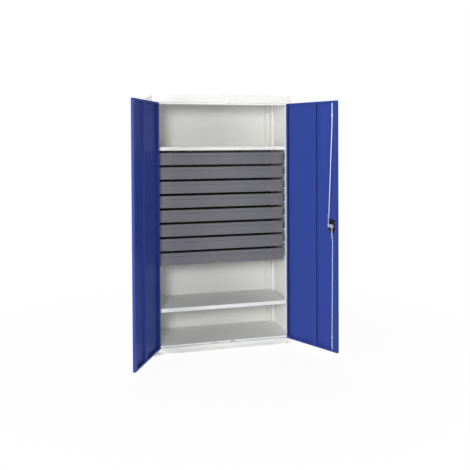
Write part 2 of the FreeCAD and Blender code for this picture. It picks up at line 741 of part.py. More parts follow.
def door_panel(word, side):
    """Pan of sheet steel: skin, four rims and the lips folded in from them."""
    body = new_body(f"{word}_door_panel")
    skin = door_y(DOOR_SHEET)
    lip = door_y(f"Sizes.door_depth - {DOOR_SHEET}")
    outside = rectangle((door_x(side, DOOR_EDGE), door_x(side, DOOR_FREE)), (DOOR_BOTTOM, DOOR_TOP))
    hollow = rectangle(
        (door_x(side, f"{DOOR_EDGE} - {DOOR_SHEET}"), door_x(side, f"{DOOR_FREE} + {DOOR_SHEET}")),
        (f"{DOOR_BOTTOM} + {DOOR_SHEET}", f"{DOOR_TOP} - {DOOR_SHEET}"))
    mouth = rectangle((door_x(side, f"{DOOR_EDGE} - Sizes.hinge_lip"), door_x(side, LIP_END)),
                      (f"{DOOR_BOTTOM} + Sizes.end_lip", f"{DOOR_TOP} - Sizes.end_lip"))
    add(body, "y", door_y("0"), "Sizes.door_depth", outline(outside))
    soften(body, "Sizes.door_bend", front_edge_test(value(door_y("0"))))
    cut(body, "y", skin, f"{lip} - {skin}", outline(hollow))
    cut(body, "y", lip, f"{DOOR_SHEET} + Sizes.cut_past", outline(mouth))
    if side > 0:
        cut_lock_openings(body, side, skin, lip)
    return finish(hang(body, word, side))


def front_edge_test(depth):
    """A test for edges that lie in the front face of a shut door."""
    return lambda edge: abs(edge.BoundBox.YMin - depth) < 0.01 and abs(edge.BoundBox.YMax - depth) < 0.01


CASE_ROOM = (
    "(Sizes.lock_height - Sizes.case_below - Sizes.case_gap)",
    "(Sizes.lock_height + Sizes.case_above + Sizes.case_gap)",
)


def cut_lock_openings(body, side, skin, lip):
    """Openings of the locking door: spindle hole, room for the case, holes for the rods."""
    centre = (door_x(side, "Sizes.lock_from_centre"), "Sizes.lock_height")
    cut(body, "y", f"{door_y('0')} - Sizes.cut_past", f"{DOOR_SHEET} + 2 * Sizes.cut_past",
        ring(centre, "Sizes.neck_radius + Sizes.neck_gap"))
    near = "Sizes.lock_from_centre - Sizes.case_left - Sizes.case_gap"
    room = rectangle((door_x(side, near), door_x(side, f"{LIP_END} + Sizes.cut_past")), CASE_ROOM)
    cut(body, "y", lip, f"{DOOR_SHEET} + Sizes.cut_past", outline(room))
    for place, level in (("lower", DOOR_BOTTOM), ("upper", f"{DOOR_TOP} - {DOOR_SHEET}")):
        hole = (door_x(side, ROD_LINES[place]), door_y("Sizes.rod_depth"))
        cut(body, "z", f"{level} - Sizes.cut_past", f"{DOOR_SHEET} + 2 * Sizes.cut_past",
            ring(hole, ROD_BORE))


def edge_channel(word, side):
    """Channel under the lip of the free edge, which makes that edge a box."""
    body = new_body(f"{word}_door_edge_channel")
    skin = door_y(DOOR_SHEET)
    lip = door_y(f"Sizes.door_depth - {DOOR_SHEET}")
    flange_end = door_x(side, f"{LIP_END} - Sizes.edge_flange")
    web = door_x(side, LIP_END)
    corners = [(flange_end, skin), (web, skin), (web, lip), (flange_end, lip)]
    bottom = f"({DOOR_BOTTOM} + {DOOR_SHEET})"
    top = f"({DOOR_TOP} - {DOOR_SHEET})"
    spans = [(bottom, top)]
    if side > 0:
        spans = [(bottom, CASE_ROOM[0]), (CASE_ROOM[1], top)]
    for start, end in spans:
        add(body, "z", start, f"{end} - {start}", outline(folded(corners, DOOR_SHEET, side)))
    return finish(hang(body, word, side))


def door_rib(word, side):
    """Hat-shaped rib welded up the inside of the skin."""
    body = new_body(f"{word}_door_rib")
    skin = door_y(DOOR_SHEET)
    crown = f"({skin} + Sizes.rib_depth)"
    near = "Sizes.rib_from_centre"
    far = f"({near} + Sizes.rib_width)"
    corners = [
        (door_x(side, f"{near} - Sizes.rib_flange"), skin),
        (door_x(side, near), skin),
        (door_x(side, near), crown),
        (door_x(side, far), crown),
        (door_x(side, far), skin),
        (door_x(side, f"{far} + Sizes.rib_flange"), skin),
    ]
    add(body, "z", f"{DOOR_BOTTOM} + {DOOR_SHEET}", f"{DOOR_TOP} - {DOOR_BOTTOM} - 2 * {DOOR_SHEET}",
        outline(folded(corners, DOOR_SHEET, side)))
    return finish(hang(body, word, side))


# Hinges

def hinge_levels():
    bottom = f"({DOOR_BOTTOM} + Sizes.hinge_margin)"
    top = f"({DOOR_TOP} - Sizes.hinge_margin)"
    return {"lower": bottom, "middle": f"(({bottom} + {top}) / 2)", "upper": top}


BARREL_BORE = "(Sizes.pin_radius + Sizes.pin_clearance)"
HALF_KNUCKLE = "(Sizes.knuckle_height / 2)"


def knuckle(body, axis, start, length):
    """A round barrel bored for the pin."""
    add(body, "z", start, length, ring(axis, "Sizes.barrel_radius"))
    cut(body, "z", f"{start} - Sizes.cut_past", f"{length} + 2 * Sizes.cut_past", ring(axis, BARREL_BORE))


def frame_leaf(name, side, level):
    """Leaf welded to the stile, with the hinge's outer two knuckles."""
    body = new_body(name)
    axis = (f"{side} * {AXIS_X}", f"{FRONT} - Sizes.axis_proud")
    reach = "(1.5 * Sizes.knuckle_height)"
    inner = f"{AXIS_X} + Sizes.barrel_radius + Sizes.leaf_relief"
    plate_y = (f"{FRONT} - Sizes.leaf_sheet", FRONT)
    block(body, (f"{side} * ({inner})", f"{side} * ({AXIS_X} + Sizes.leaf_width)"), plate_y,
          (f"{level} - {reach}", f"{level} + {reach}"))
    for start in (f"{level} - {reach}", f"{level} + {HALF_KNUCKLE} + Sizes.knuckle_gap / 2"):
        height = f"(Sizes.knuckle_height - Sizes.knuckle_gap / 2)"
        block(body, (f"{side} * {AXIS_X}", f"{side} * ({inner})"), plate_y, (start, f"{start} + {height}"))
        knuckle(body, axis, start, height)
    return body


def door_leaf(name, word, side, level):
    """Leaf welded to the door's face, with the hinge's middle knuckle."""
    body = new_body(name)
    axis = ("0", "0")
    reach = "(1.5 * Sizes.knuckle_height)"
    inner = "(Sizes.barrel_radius + Sizes.leaf_relief)"
    plate_y = ("Sizes.axis_proud - Sizes.leaf_sheet", "Sizes.axis_proud")
    half = f"({HALF_KNUCKLE} - Sizes.knuckle_gap / 2)"
    block(body, (f"{-side} * {inner}", f"{-side} * Sizes.leaf_width"), plate_y,
          (f"{level} - {reach}", f"{level} + {reach}"))
    block(body, (f"{-side} * (Sizes.door_side_gap - Sizes.axis_inset)", f"{-side} * {inner}"), plate_y,
          (f"{level} - {half}", f"{level} + {half}"))
    knuckle(body, axis, f"({level} - {half})", f"2 * {half}")
    return hang(body, word, side)


def hinge_pin(name, side, level):
    """Pin that drops through the three knuckles and hangs by its head."""
    body = new_body(name)
    axis = (f"{side} * {AXIS_X}", f"{FRONT} - Sizes.axis_proud")
    reach = "(1.5 * Sizes.knuckle_height)"
    add(body, "z", f"{level} - {reach}", f"2 * {reach}", ring(axis, "Sizes.pin_radius"))
    add(body, "z", f"{level} + {reach}", "Sizes.pin_head", ring(axis, "Sizes.pin_head_radius"))
    return body


def hinges():
    leaves = []
    pins = []
    for word, side in SIDES.items():
        door_leaves = []
        for place, level in hinge_levels().items():
            leaves.append(frame_leaf(f"{word}_{place}_frame_leaf", side, level))
            pins.append(hinge_pin(f"{word}_{place}_hinge_pin", side, level))
            door_leaves.append(door_leaf(f"{word}_{place}_door_leaf", word, side, level))
        group(f"{word}_door_hinge_leaves", door_leaves)
    group("frame_hinge_leaves", leaves)
    group("hinge_pins", pins)


# Rod lock on the right door

LOCK = SIDES["right"]
LOCK_X = door_x(LOCK, "Sizes.lock_from_centre")
LOCK_Z = "Sizes.lock_height"
CASE_TOP = f"({DOOR_SHEET} + Sizes.case_depth)"
CRANK_START = f"({CASE_TOP} + Sizes.crank_lift)"
CRANK_END = f"({CRANK_START} + Sizes.crank_sheet)"
NECK_BORE = "(Sizes.neck_radius + Sizes.neck_gap)"
GRIP_START = "(Sizes.rosette_sheet + Sizes.grip_gap)"
GRIP_END = f"({GRIP_START} + Sizes.grip_height)"


def on_right_door(body):
    return finish(hang(body, "right", LOCK))


def lock_case():
    """Case on the inside of the door round the spindle."""
    body = new_body("lock_case")
    left = "(Sizes.lock_from_centre - Sizes.case_left)"
    right = "(Sizes.lock_from_centre + Sizes.case_right)"
    bottom = f"({LOCK_Z} - Sizes.case_below)"
    top = f"({LOCK_Z} + Sizes.case_above)"
    corners = [
        (door_x(LOCK, left), bottom),
        (door_x(LOCK, right), bottom),
        (door_x(LOCK, right), top),
        (door_x(LOCK, f"{left} + Sizes.case_corner"), top),
        (door_x(LOCK, left), f"{top} - Sizes.case_corner"),
    ]
    add(body, "y", door_y(DOOR_SHEET), "Sizes.case_depth", outline(corners))
    cut(body, "y", f"{door_y(DOOR_SHEET)} - Sizes.cut_past", "Sizes.case_depth + 2 * Sizes.cut_past",
        ring((LOCK_X, LOCK_Z), NECK_BORE))
    return on_right_door(body)


def lock_rosette():
    """Round plate between the door's face and the grip."""
    body = new_body("lock_rosette")
    add(body, "y", door_y("-Sizes.rosette_sheet"), "Sizes.rosette_sheet",
        ring((LOCK_X, LOCK_Z), "Sizes.rosette_radius"), ring((LOCK_X, LOCK_Z), NECK_BORE))
    soften(body, "Sizes.bend_radius", rim_test("Sizes.rosette_radius", door_y("-Sizes.rosette_sheet")))
    return on_right_door(body)


def rim_test(radius, depth):
    """A test for the round edge of a given radius at a given depth."""
    wanted = value(radius)
    place = value(depth)

    def chosen(edge):
        round_edge = isinstance(edge.Curve, Part.Circle) and abs(edge.Curve.Radius - wanted) < 0.01
        return round_edge and abs(edge.BoundBox.YMin - place) < 0.01 and edge.BoundBox.YLength < 0.01
    return chosen


def lock_grip():
    """Turning grip with its neck and the square spindle that goes through the door."""
    body = new_body("lock_grip")
    start = door_y(f"-{GRIP_END}")
    centre = (LOCK_X, LOCK_Z)
    add(body, "y", start, "Sizes.grip_height", ring(centre, "Sizes.grip_hub_radius"))
    half_length = "(Sizes.grip_length / 2)"
    half_width = "(Sizes.grip_width / 2)"
    wing = [
        (f"{LOCK_X} - {half_length}", f"{LOCK_Z} - {half_width} / 2"),
        (f"{LOCK_X} - {half_length} + {half_width} / 2", f"{LOCK_Z} - {half_width}"),
        (f"{LOCK_X} + {half_length} - {half_width} / 2", f"{LOCK_Z} - {half_width}"),
        (f"{LOCK_X} + {half_length}", f"{LOCK_Z} - {half_width} / 2"),
        (f"{LOCK_X} + {half_length}", f"{LOCK_Z} + {half_width} / 2"),
        (f"{LOCK_X} + {half_length} - {half_width} / 2", f"{LOCK_Z} + {half_width}"),
        (f"{LOCK_X} - {half_length} + {half_width} / 2", f"{LOCK_Z} + {half_width}"),
        (f"{LOCK_X} - {half_length}", f"{LOCK_Z} + {half_width} / 2"),
    ]
    add(body, "y", start, "Sizes.grip_height * 3 / 4", outline(wing))
    add(body, "y", door_y(f"-{GRIP_START}"), f"{GRIP_START} + {CASE_TOP}", ring(centre, "Sizes.neck_radius"))
    half_spindle = "Sizes.spindle_width / 2"
    square = rectangle((f"{LOCK_X} - {half_spindle}", f"{LOCK_X} + {half_spindle}"),
                       (f"{LOCK_Z} - {half_spindle}", f"{LOCK_Z} + {half_spindle}"))
    add(body, "y", door_y(CASE_TOP), f"{CRANK_END} - {CASE_TOP}", outline(square))
    cut(body, "y", f"{start} - Sizes.cut_past", "Sizes.plug_depth + Sizes.cut_past",
        ring(centre, "Sizes.plug_radius + Sizes.plug_gap"))
    return on_right_door(body)


def key_plug():
    """Plug of the key cylinder, turning in the grip."""
    body = new_body("key_plug")
    start = f"({door_y(f'-{GRIP_END}')} - Sizes.plug_proud)"
    centre = (LOCK_X, LOCK_Z)
    length = "Sizes.plug_depth + Sizes.plug_proud - Sizes.plug_gap"
    add(body, "y", start, length, ring(centre, "Sizes.plug_radius"))
    keyway = rectangle((f"{LOCK_X} - Sizes.keyway_wide / 2", f"{LOCK_X} + Sizes.keyway_wide / 2"),
                       (f"{LOCK_Z} - Sizes.keyway_tall / 2", f"{LOCK_Z} + Sizes.keyway_tall / 2"))
    cut(body, "y", f"{start} - Sizes.cut_past", "Sizes.keyway_deep + Sizes.cut_past", outline(keyway))
    return on_right_door(body)


FOOT_STARTS = {
    "upper": f"({CRANK_END} + Sizes.foot_gap)",
    "lower": f"({CRANK_END} + 2 * Sizes.foot_gap + Sizes.foot_sheet)",
}
TOWARDS = {"upper": 1, "lower": -1}

# A rod moves evenly with the turn and its pin by the sine, so the pin runs ahead by up to this much.
PIN_LEAD = "(Sizes.crank_radius * (sin(acos(2 / pi)) - acos(2 / pi) / 90 deg))"


def lock_crank():
    """Two-armed crank on the spindle, with a pin for each rod."""
    body = new_body("lock_crank")
    reach = "(Sizes.crank_radius + Sizes.crank_width / 2)"
    half = "Sizes.crank_width / 2"
    arms = rectangle((f"{LOCK_X} - {reach}", f"{LOCK_X} + {reach}"),
                     (f"{LOCK_Z} - {half}", f"{LOCK_Z} + {half}"))
    half_spindle = "Sizes.spindle_width / 2"
    hole = rectangle((f"{LOCK_X} - {half_spindle}", f"{LOCK_X} + {half_spindle}"),
                     (f"{LOCK_Z} - {half_spindle}", f"{LOCK_Z} + {half_spindle}"))
    add(body, "y", door_y(CRANK_START), "Sizes.crank_sheet", outline(arms), outline(hole))
    for place, sign in TOWARDS.items():
        pin = (f"{LOCK_X} + ({sign}) * Sizes.crank_radius", LOCK_Z)
        pin_end = f"({FOOT_STARTS[place]} + Sizes.foot_sheet + Sizes.foot_gap / 2)"
        add(body, "y", door_y(CRANK_END), f"{pin_end} - {CRANK_END}", ring(pin, "Sizes.crank_pin_radius"))
    return on_right_door(body)


def lock_rod(place, end, line):
    """Round rod from the door's end to the crank, ending in a slotted foot round the crank's pin."""
    sign = TOWARDS[place]
    body = new_body(f"{place}_lock_rod")
    tip = f"({end} - ({sign}) * Sizes.rod_tip_margin)"
    bend = f"({end} - ({sign}) * Sizes.bend_from_end)"
    tang_far = f"({LOCK_Z} + ({sign}) * (Sizes.tang_start + Sizes.tang_length))"
    tang_near = f"({LOCK_Z} + ({sign}) * Sizes.tang_start)"
    pin_x = f"({LOCK_X} + ({sign}) * Sizes.crank_radius)"
    top_x = door_x(LOCK, line)
    low, high = (bend, tip) if sign > 0 else (tip, bend)
    add(body, "z", low, f"{high} - {low}", ring((top_x, door_y("Sizes.rod_depth")), "Sizes.rod_radius"))
    path = new_sketch(body, "y", door_y("Sizes.rod_depth"))
    ends = [Vector(value(x), value(z), 0) for x, z in ((top_x, bend), (pin_x, tang_far))]
    path.addGeometry(Part.LineSegment(*ends))
    fix_point(path, 0, 1, (top_x, bend))
    fix_point(path, 0, 2, (pin_x, tang_far))
    round_section = new_sketch(body, "z", bend)
    add_circle(round_section, (top_x, door_y("Sizes.rod_depth")), "Sizes.rod_radius")
    pipe = body.newObject("PartDesign::AdditivePipe", "slanted_stretch")
    pipe.Profile = round_section
    pipe.Spine = path
    foot_start = door_y(FOOT_STARTS[place])
    foot_end = f"({foot_start} + Sizes.foot_sheet)"
    half_tang = "Sizes.foot_tang / 2"
    tang = (f"{pin_x} - {half_tang}", f"{pin_x} + {half_tang}")
    low, high = (tang_near, tang_far) if sign > 0 else (tang_far, tang_near)
    block(body, tang, (f"{door_y('Sizes.rod_depth')} - Sizes.rod_radius", foot_end), (low, high))
    low, high = (LOCK_Z, tang_far) if sign > 0 else (tang_far, LOCK_Z)
    block(body, tang, (foot_start, foot_end), (low, high))
    slot_half = "(Sizes.crank_pin_radius + Sizes.pin_run_gap)"
    inner = f"({LOCK_X} - ({sign}) * {slot_half})"
    outer = f"({pin_x} + ({sign}) * {slot_half})"
    near = f"({LOCK_Z} - ({sign}) * {slot_half})"
    far = f"({LOCK_Z} + ({sign}) * ({PIN_LEAD} + {slot_half}))"
    margin = "Sizes.foot_margin"
    foot = rectangle((f"{inner} - ({sign}) * {margin}", f"{outer} + ({sign}) * {margin}"),
                     (f"{near} - ({sign}) * {margin}", f"{far} + ({sign}) * {margin}"))
    add(body, "y", foot_start, "Sizes.foot_sheet", outline(foot))
    slot = rectangle((inner, outer), (near, far))
    clear = "Sizes.foot_gap / 2"
    cut(body, "y", f"{foot_start} - {clear}", f"Sizes.foot_sheet + 2 * {clear}", outline(slot))
    return on_right_door(body)


def rod_guides():
    """Blocks on the door's skin that the rods slide in, two for each rod."""
    guides = []
    for place, end in (("upper", DOOR_TOP), ("lower", DOOR_BOTTOM)):
        sign = TOWARDS[place]
        line = door_x(LOCK, ROD_LINES[place])
        for word, from_end in (("end", DOOR_SHEET), ("inner", "Sizes.guide_from_end")):
            body = new_body(f"{place}_{word}_guide")
            near = f"({end} - ({sign}) * {from_end})"
            far = f"({near} - ({sign}) * Sizes.guide_height)"
            low, high = (far, near) if sign > 0 else (near, far)
            top = f"({door_y('Sizes.rod_depth')} + {ROD_BORE} + Sizes.guide_cover)"
            block(body, (f"{line} - Sizes.guide_width / 2", f"{line} + Sizes.guide_width / 2"),
                  (door_y(DOOR_SHEET), top), (low, high))
            cut(body, "z", f"{low} - Sizes.cut_past", "Sizes.guide_height + 2 * Sizes.cut_past",
                ring((line, door_y("Sizes.rod_depth")), ROD_BORE))
            guides.append(hang(body, "right", LOCK))
    return group("rod_guides", guides)


def rod_bushings():
    """Collars in the ledges that the rod ends enter."""
    bushings = []
    for x, y, level, away in BUSHING_PLACES:
        body = new_body("lower_bushing" if away < 0 else "upper_bushing")
        flange_start = level if away < 0 else f"{level} - Sizes.bushing_flange_sheet"
        barrel_start = f"{level} - Sizes.bushing_length" if away < 0 else level
        add(body, "z", flange_start, "Sizes.bushing_flange_sheet",
            ring((x, y), f"{BUSHING_OUTSIDE} + Sizes.bushing_flange"), ring((x, y), BUSHING_BORE))
        add(body, "z", barrel_start, "Sizes.bushing_length",
            ring((x, y), BUSHING_OUTSIDE), ring((x, y), BUSHING_BORE))
        bushings.append(body)
    return group("rod_bushings", bushings)


def door_buffers():
    """Rubber pads on the lower stop, behind the free edges of the shut doors."""
    buffers = []
    middle = f"(({LEDGE} + {FLOOR}) / 2)"
    for word, side in SIDES.items():
        body = new_body(f"{word}_buffer")
        x = f"({side} * Sizes.buffer_from_centre)"
        block(body, (f"{x} - Sizes.buffer_width / 2", f"{x} + Sizes.buffer_width / 2"),
              (f"{STOP_FACE} - Sizes.buffer_sheet", STOP_FACE),
              (f"{middle} - Sizes.buffer_height / 2", f"{middle} + Sizes.buffer_height / 2"))
        buffers.append(body)
    return group("door_buffers", buffers)


# Assembly

for word, side in SIDES.items():
    side_panel(word, side)
    for place, near_face in UPRIGHTS.items():
        upright(word, side, place, near_face)
rear_strips()
back_panel()
top_panel()
bottom_panel()
plinth_frame()

SHELVES = {"lower": "Sizes.lower_shelf_slot", "upper": "Sizes.upper_shelf_slot"}
clips = []
for place, slot_number in SHELVES.items():
    shelf(place, slot_number)
    for word, side in SIDES.items():
        for upright_word, near_face in UPRIGHTS.items():
            name = f"{place}_{word}_{upright_word}_clip"
            clips.append(shelf_clip(name, side, near_face, slot_number))
group("shelf_clips", clips)

for number in range(1, DRAWERS + 1):
    drawer_front(number)
    drawer_tray(number)
    drawer_runners(number)
for word, side in SIDES.items():
    channels = [slide_channel(f"{word}_channel_{number}", side, number) for number in range(1, DRAWERS + 1)]
    group(f"{word}_slide_channels", channels)

for word, side in SIDES.items():
    door_panel(word, side)
    edge_channel(word, side)
    door_rib(word, side)
hinges()

lock_case()
lock_rosette()
lock_grip()
key_plug()
lock_crank()
lock_rod("upper", DOOR_TOP, ROD_LINES["upper"])
lock_rod("lower", DOOR_BOTTOM, ROD_LINES["lower"])
rod_guides()
rod_bushings()
door_buffers()

doc.recompute()
for thing in doc.Objects:
    if "Invalid" in thing.State or "Error" in thing.State:
        raise RuntimeError(f"{thing.Label} failed: {thing.State}")
for piece in PIECES:
    if piece.Shape.isNull() or not piece.Shape.isValid():
        raise RuntimeError(f"{piece.Label} has no valid shape")

os.makedirs("parts", exist_ok=True)
for piece in PIECES:
    piece.Shape.exportStep(os.path.join("parts", piece.Label + ".step"))
print(len(PIECES), "pieces written")
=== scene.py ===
import json
import math

import bmesh
import bpy
import numpy as np
from mathutils import Matrix, Vector


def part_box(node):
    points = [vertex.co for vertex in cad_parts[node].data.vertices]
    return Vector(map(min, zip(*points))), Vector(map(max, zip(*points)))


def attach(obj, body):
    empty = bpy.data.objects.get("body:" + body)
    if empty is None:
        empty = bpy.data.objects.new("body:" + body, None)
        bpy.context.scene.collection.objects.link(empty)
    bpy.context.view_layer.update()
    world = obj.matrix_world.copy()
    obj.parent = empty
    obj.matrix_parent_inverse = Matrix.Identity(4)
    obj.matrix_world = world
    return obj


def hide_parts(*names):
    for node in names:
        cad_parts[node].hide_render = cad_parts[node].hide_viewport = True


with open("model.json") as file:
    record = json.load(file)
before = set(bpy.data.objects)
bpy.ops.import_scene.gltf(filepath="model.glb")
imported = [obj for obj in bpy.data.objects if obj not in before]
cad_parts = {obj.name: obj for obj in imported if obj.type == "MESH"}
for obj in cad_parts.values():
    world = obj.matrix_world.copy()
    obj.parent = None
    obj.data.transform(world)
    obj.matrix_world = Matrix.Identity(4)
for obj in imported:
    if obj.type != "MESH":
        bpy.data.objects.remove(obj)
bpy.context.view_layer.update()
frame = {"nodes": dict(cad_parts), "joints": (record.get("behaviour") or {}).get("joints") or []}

bl_info = {
    "name": "Sheet steel drawer cabinet",
    "version": (1, 0, 0),
    "blender": (4, 5, 0),
    "location": "View3D > Sidebar > Cabinet",
    "description": "Paint, metal and small fittings of a drawer cabinet with two doors, and its stage",
    "category": "Object",
}

NODES = frame["nodes"]
DRAWERS = range(1, 9)


# Settings that a user would change. Lengths are in metres all through the script.

SHORTEST = 0.0001


def colour_setting(name, description, default):
    return bpy.props.FloatVectorProperty(name=name, description=description, subtype="COLOR", size=3,
                                         min=0, max=1, default=default)


def length_setting(name, description, default):
    return bpy.props.FloatProperty(name=name, description=description, subtype="DISTANCE", unit="LENGTH",
                                   min=SHORTEST, default=default)


def power_setting(name, description, default):
    return bpy.props.FloatProperty(name=name, description=description, subtype="POWER", unit="POWER",
                                   min=0, default=default)


def fraction_setting(name, description, default):
    return bpy.props.FloatProperty(name=name, description=description, subtype="FACTOR",
                                   min=0, max=1, default=default)


class CabinetColours(bpy.types.PropertyGroup):
    carcass: colour_setting(
        "Carcass paint", "Light grey powder coat of the body, shelves and slotted uprights",
        (0.84, 0.84, 0.815))
    doors: colour_setting("Door paint", "Deep blue powder coat of both doors", (0.033, 0.059, 0.280))
    drawers: colour_setting("Drawer paint", "Dark grey powder coat of the drawers", (0.138, 0.137, 0.152))
    zinc: colour_setting(
        "Zinc plating", "Slides, clips, pins, rod guides, screws and crank, and the plug's chrome",
        (0.80, 0.81, 0.84))
    # The rods' bluish tint is partly their plating and partly a painted reflection of the blue door.
    rods: colour_setting("Rod plating", "Bluish bright plating of the lock's rods", (0.56, 0.58, 0.84))
    black: colour_setting(
        "Black", "Case, rosette and bushings of the lock, and the coat of its grip",
        (0.012, 0.012, 0.014))
    rubber: colour_setting("Rubber", "Pads that the doors shut against", (0.50, 0.50, 0.48))


class CabinetSizes(bpy.types.PropertyGroup):
    grip_length: length_setting("Grip length", "Reach of the turning grip from end to end", 0.070)
    grip_width: length_setting("Grip width", "Width of the grip's bar at its foot", 0.020)
    grip_height: length_setting("Grip height", "How far the grip stands out from its rosette", 0.018)
    grip_disc: length_setting("Grip disc", "Radius of the round disc that the grip's bar grows from", 0.017)
    rosette: length_setting("Rosette radius", "Radius of the plate under the grip", 0.024)
    case_edge: length_setting("Case edge", "Width of the rounded edge round the lock's case", 0.003)
    screw: length_setting("Screw radius", "Radius of the screw heads on the lock's case", 0.0034)
    pad_width: length_setting("Pad width", "Width of the pads that the doors shut against", 0.024)
    guide_chamfer: length_setting("Guide chamfer", "Chamfer at both ends of a rod guide", 0.0008)
    peel: length_setting("Orange peel", "Width of one ripple of the powder coat", 0.0016)
    spangle: length_setting("Spangle", "Width of one crystal patch of the zinc plating", 0.004)
    grain: length_setting("Grain", "Width of one grain on plastic, rubber and the grip's coat", 0.0007)


class CabinetLight(bpy.types.PropertyGroup):
    ambient: fraction_setting("Room light", "Even light from all round", 0.16)
    mirrored: fraction_setting("Mirrored room", "How bright the white room is in glossy surfaces", 0.7)
    whitening: fraction_setting("Floor white", "Share of plain white in the floor that the camera sees", 0.95)
    main: power_setting("Main lamp", "Power of the soft lamp in front, to the left", 145)
    left: power_setting("Left lamp", "Power of the larger lamp far to the left", 170)
    right: power_setting("Right lamp", "Power of the larger lamp far to the right", 65)
    back: power_setting("Back lamp", "Power of the larger lamp behind the cabinet", 110)


# Nodes of a material

class Shade:
    """One output of a material's nodes. Python's signs on it add the Math nodes."""

    def __init__(self, tree, socket):
        self.tree = tree
        self.socket = socket

    def node(self, kind, settings=None, values=None, output=0):
        """A further node: its settings first, then the values or links of its sockets."""
        made = self.tree.nodes.new(kind)
        for name, setting in (settings or {}).items():
            setattr(made, name, setting)
        for key, given in (values or {}).items():
            if isinstance(given, Shade):
                self.tree.links.new(given.socket, made.inputs[key])
            else:
                made.inputs[key].default_value = given
        return Shade(self.tree, made.outputs[output]) if made.outputs else None

    def math(self, operation, *given):
        return self.node("ShaderNodeMath", {"operation": operation}, dict(enumerate(given)))

    def __add__(self, other):
        return self.math("ADD", self, other)

    def __sub__(self, other):
        return self.math("SUBTRACT", self, other)

    def __rsub__(self, other):
        return self.math("SUBTRACT", other, self)

    def __mul__(self, other):
        return self.math("MULTIPLY", self, other)

    __radd__ = __add__
    __rmul__ = __mul__


def start_material(name):
    """A material with one shader, and the place on the object, which patterns go by."""
    material = bpy.data.materials.new(name)
    material.use_nodes = True
    tree = material.node_tree
    shader = next(n for n in tree.nodes if n.type == "BSDF_PRINCIPLED")
    place = Shade(tree, tree.nodes.new("ShaderNodeTexCoord").outputs["Object"])
    return material, shader, place


def noise(place, width, detail=2.0, stretch=(1, 1, 1)):
    """Even noise from 0 to 1 with features of a width in metres, drawn out along the axes under 1."""
    if stretch != (1, 1, 1):
        place = place.node("ShaderNodeMapping", {"vector_type": "POINT"}, {"Vector": place, "Scale": stretch})
    return place.node("ShaderNodeTexNoise", None, {"Vector": place, "Scale": 1 / width, "Detail": detail})


def between(amount, low, high):
    """0 below low, 1 above high and a smooth rise between them."""
    return amount.node("ShaderNodeMapRange", {"interpolation_type": "SMOOTHSTEP"},
                       {"Value": amount, "From Min": low, "From Max": high})


def swing(pattern, reach):
    """What a pattern from 0 to 1 adds where it swings by the reach about its middle."""
    return (pattern - 0.5) * reach


def blend(amount, first, second):
    """A colour that goes from the first to the second."""
    given = {0: amount, 6: first if isinstance(first, Shade) else (*first, 1),
             7: second if isinstance(second, Shade) else (*second, 1)}
    return amount.node("ShaderNodeMix", {"data_type": "RGBA"}, given, output=2)


def bump(height, depth):
    return height.node("ShaderNodeBump", None, {"Height": height, "Distance": depth})


def set_shader(shader, colour, roughness, normal=None, constants=None):
    """Links what varies over the surface, and writes constants on the shader's own sockets."""
    varied = {"Base Color": colour, "Roughness": roughness, "Normal": normal}
    for name, given in varied.items():
        if given is not None:
            given.tree.links.new(given.socket, shader.inputs[name])
    for name, given in (constants or {}).items():
        shader.inputs[name].default_value = given


def tinted(colour, factor):
    return tuple(min(1.0, part * factor) for part in colour)


# Powder coat: width of each pattern, where it starts and is full, and how much it changes

PEEL_SHEEN = 0.05
PEEL_DEPTH = 0.00006
DRIFT_WIDTH = 0.35
DRIFT_SHEEN = 0.06
RUB_WIDTH = 0.09
RUB_STRETCH = (1, 1, 0.35)
RUB_RANGE = (0.52, 0.78)
RUB_DULLS = 0.10
SPECK_WIDTH = 0.0025
SPECK_RANGE = (0.68, 0.74)
SPECK_SHARE = 0.25
SPECK_TINT = 1.35


def powder_coat(name, colour, peel, roughness, drift=0.05, shine=0.5, depth=PEEL_DEPTH):
    """Powder coat: ripples like orange peel, a slow drift of tone, fine dust and rubbed patches."""
    material, shader, place = start_material(name)
    ripple = noise(place, peel, detail=1.5)
    slow = noise(place, DRIFT_WIDTH, detail=3)
    rubbed = between(noise(place, RUB_WIDTH, detail=5, stretch=RUB_STRETCH), *RUB_RANGE)
    specks = between(noise(place, SPECK_WIDTH), *SPECK_RANGE)
    base = blend(slow, tinted(colour, 1 - drift), tinted(colour, 1 + drift))
    base = blend(specks * SPECK_SHARE, base, tinted(colour, SPECK_TINT))
    sheen = roughness + swing(slow, DRIFT_SHEEN) + rubbed * RUB_DULLS + swing(ripple, PEEL_SHEEN)
    set_shader(shader, base, sheen, bump(ripple, depth), {"Specular IOR Level": shine})
    return material


# Zinc plating: the same for its crystal patches, its clouds and its drawing lines

PATCH_TINTS = (0.82, 1.12)
PATCH_SHEEN = 0.10
CLOUD_WIDTH = 0.03
CLOUD_RANGE = (0.55, 0.75)
CLOUD_DULLS = 0.18
DRAWN_WIDTH = 0.0006
DRAWN_DEPTH = 0.00002
DRAWN_OUT = 0.02
ZINC_METALLIC = 0.45


def zinc_plating(name, colour, spangle, roughness=0.3, stretch=(1, 1, 1)):
    """Zinc plating: faint crystal patches, cloudy spots and fine drawing lines."""
    material, shader, place = start_material(name)
    cells = place.node("ShaderNodeTexVoronoi", {"feature": "F1"}, {"Vector": place, "Scale": 1 / spangle},
                       output="Color")
    patch = cells.node("ShaderNodeSeparateColor", None, {"Color": cells})
    cloud = noise(place, CLOUD_WIDTH, detail=4)
    lines = noise(place, DRAWN_WIDTH, stretch=stretch)
    base = blend(patch * 0.5 + cloud * 0.5, *(tinted(colour, tint) for tint in PATCH_TINTS))
    sheen = roughness + swing(patch, PATCH_SHEEN) + between(cloud, *CLOUD_RANGE) * CLOUD_DULLS
    set_shader(shader, base, sheen, bump(lines, DRAWN_DEPTH), {"Metallic": ZINC_METALLIC})
    return material


# Plastic and rubber: the same for their grain and their rubbed spots

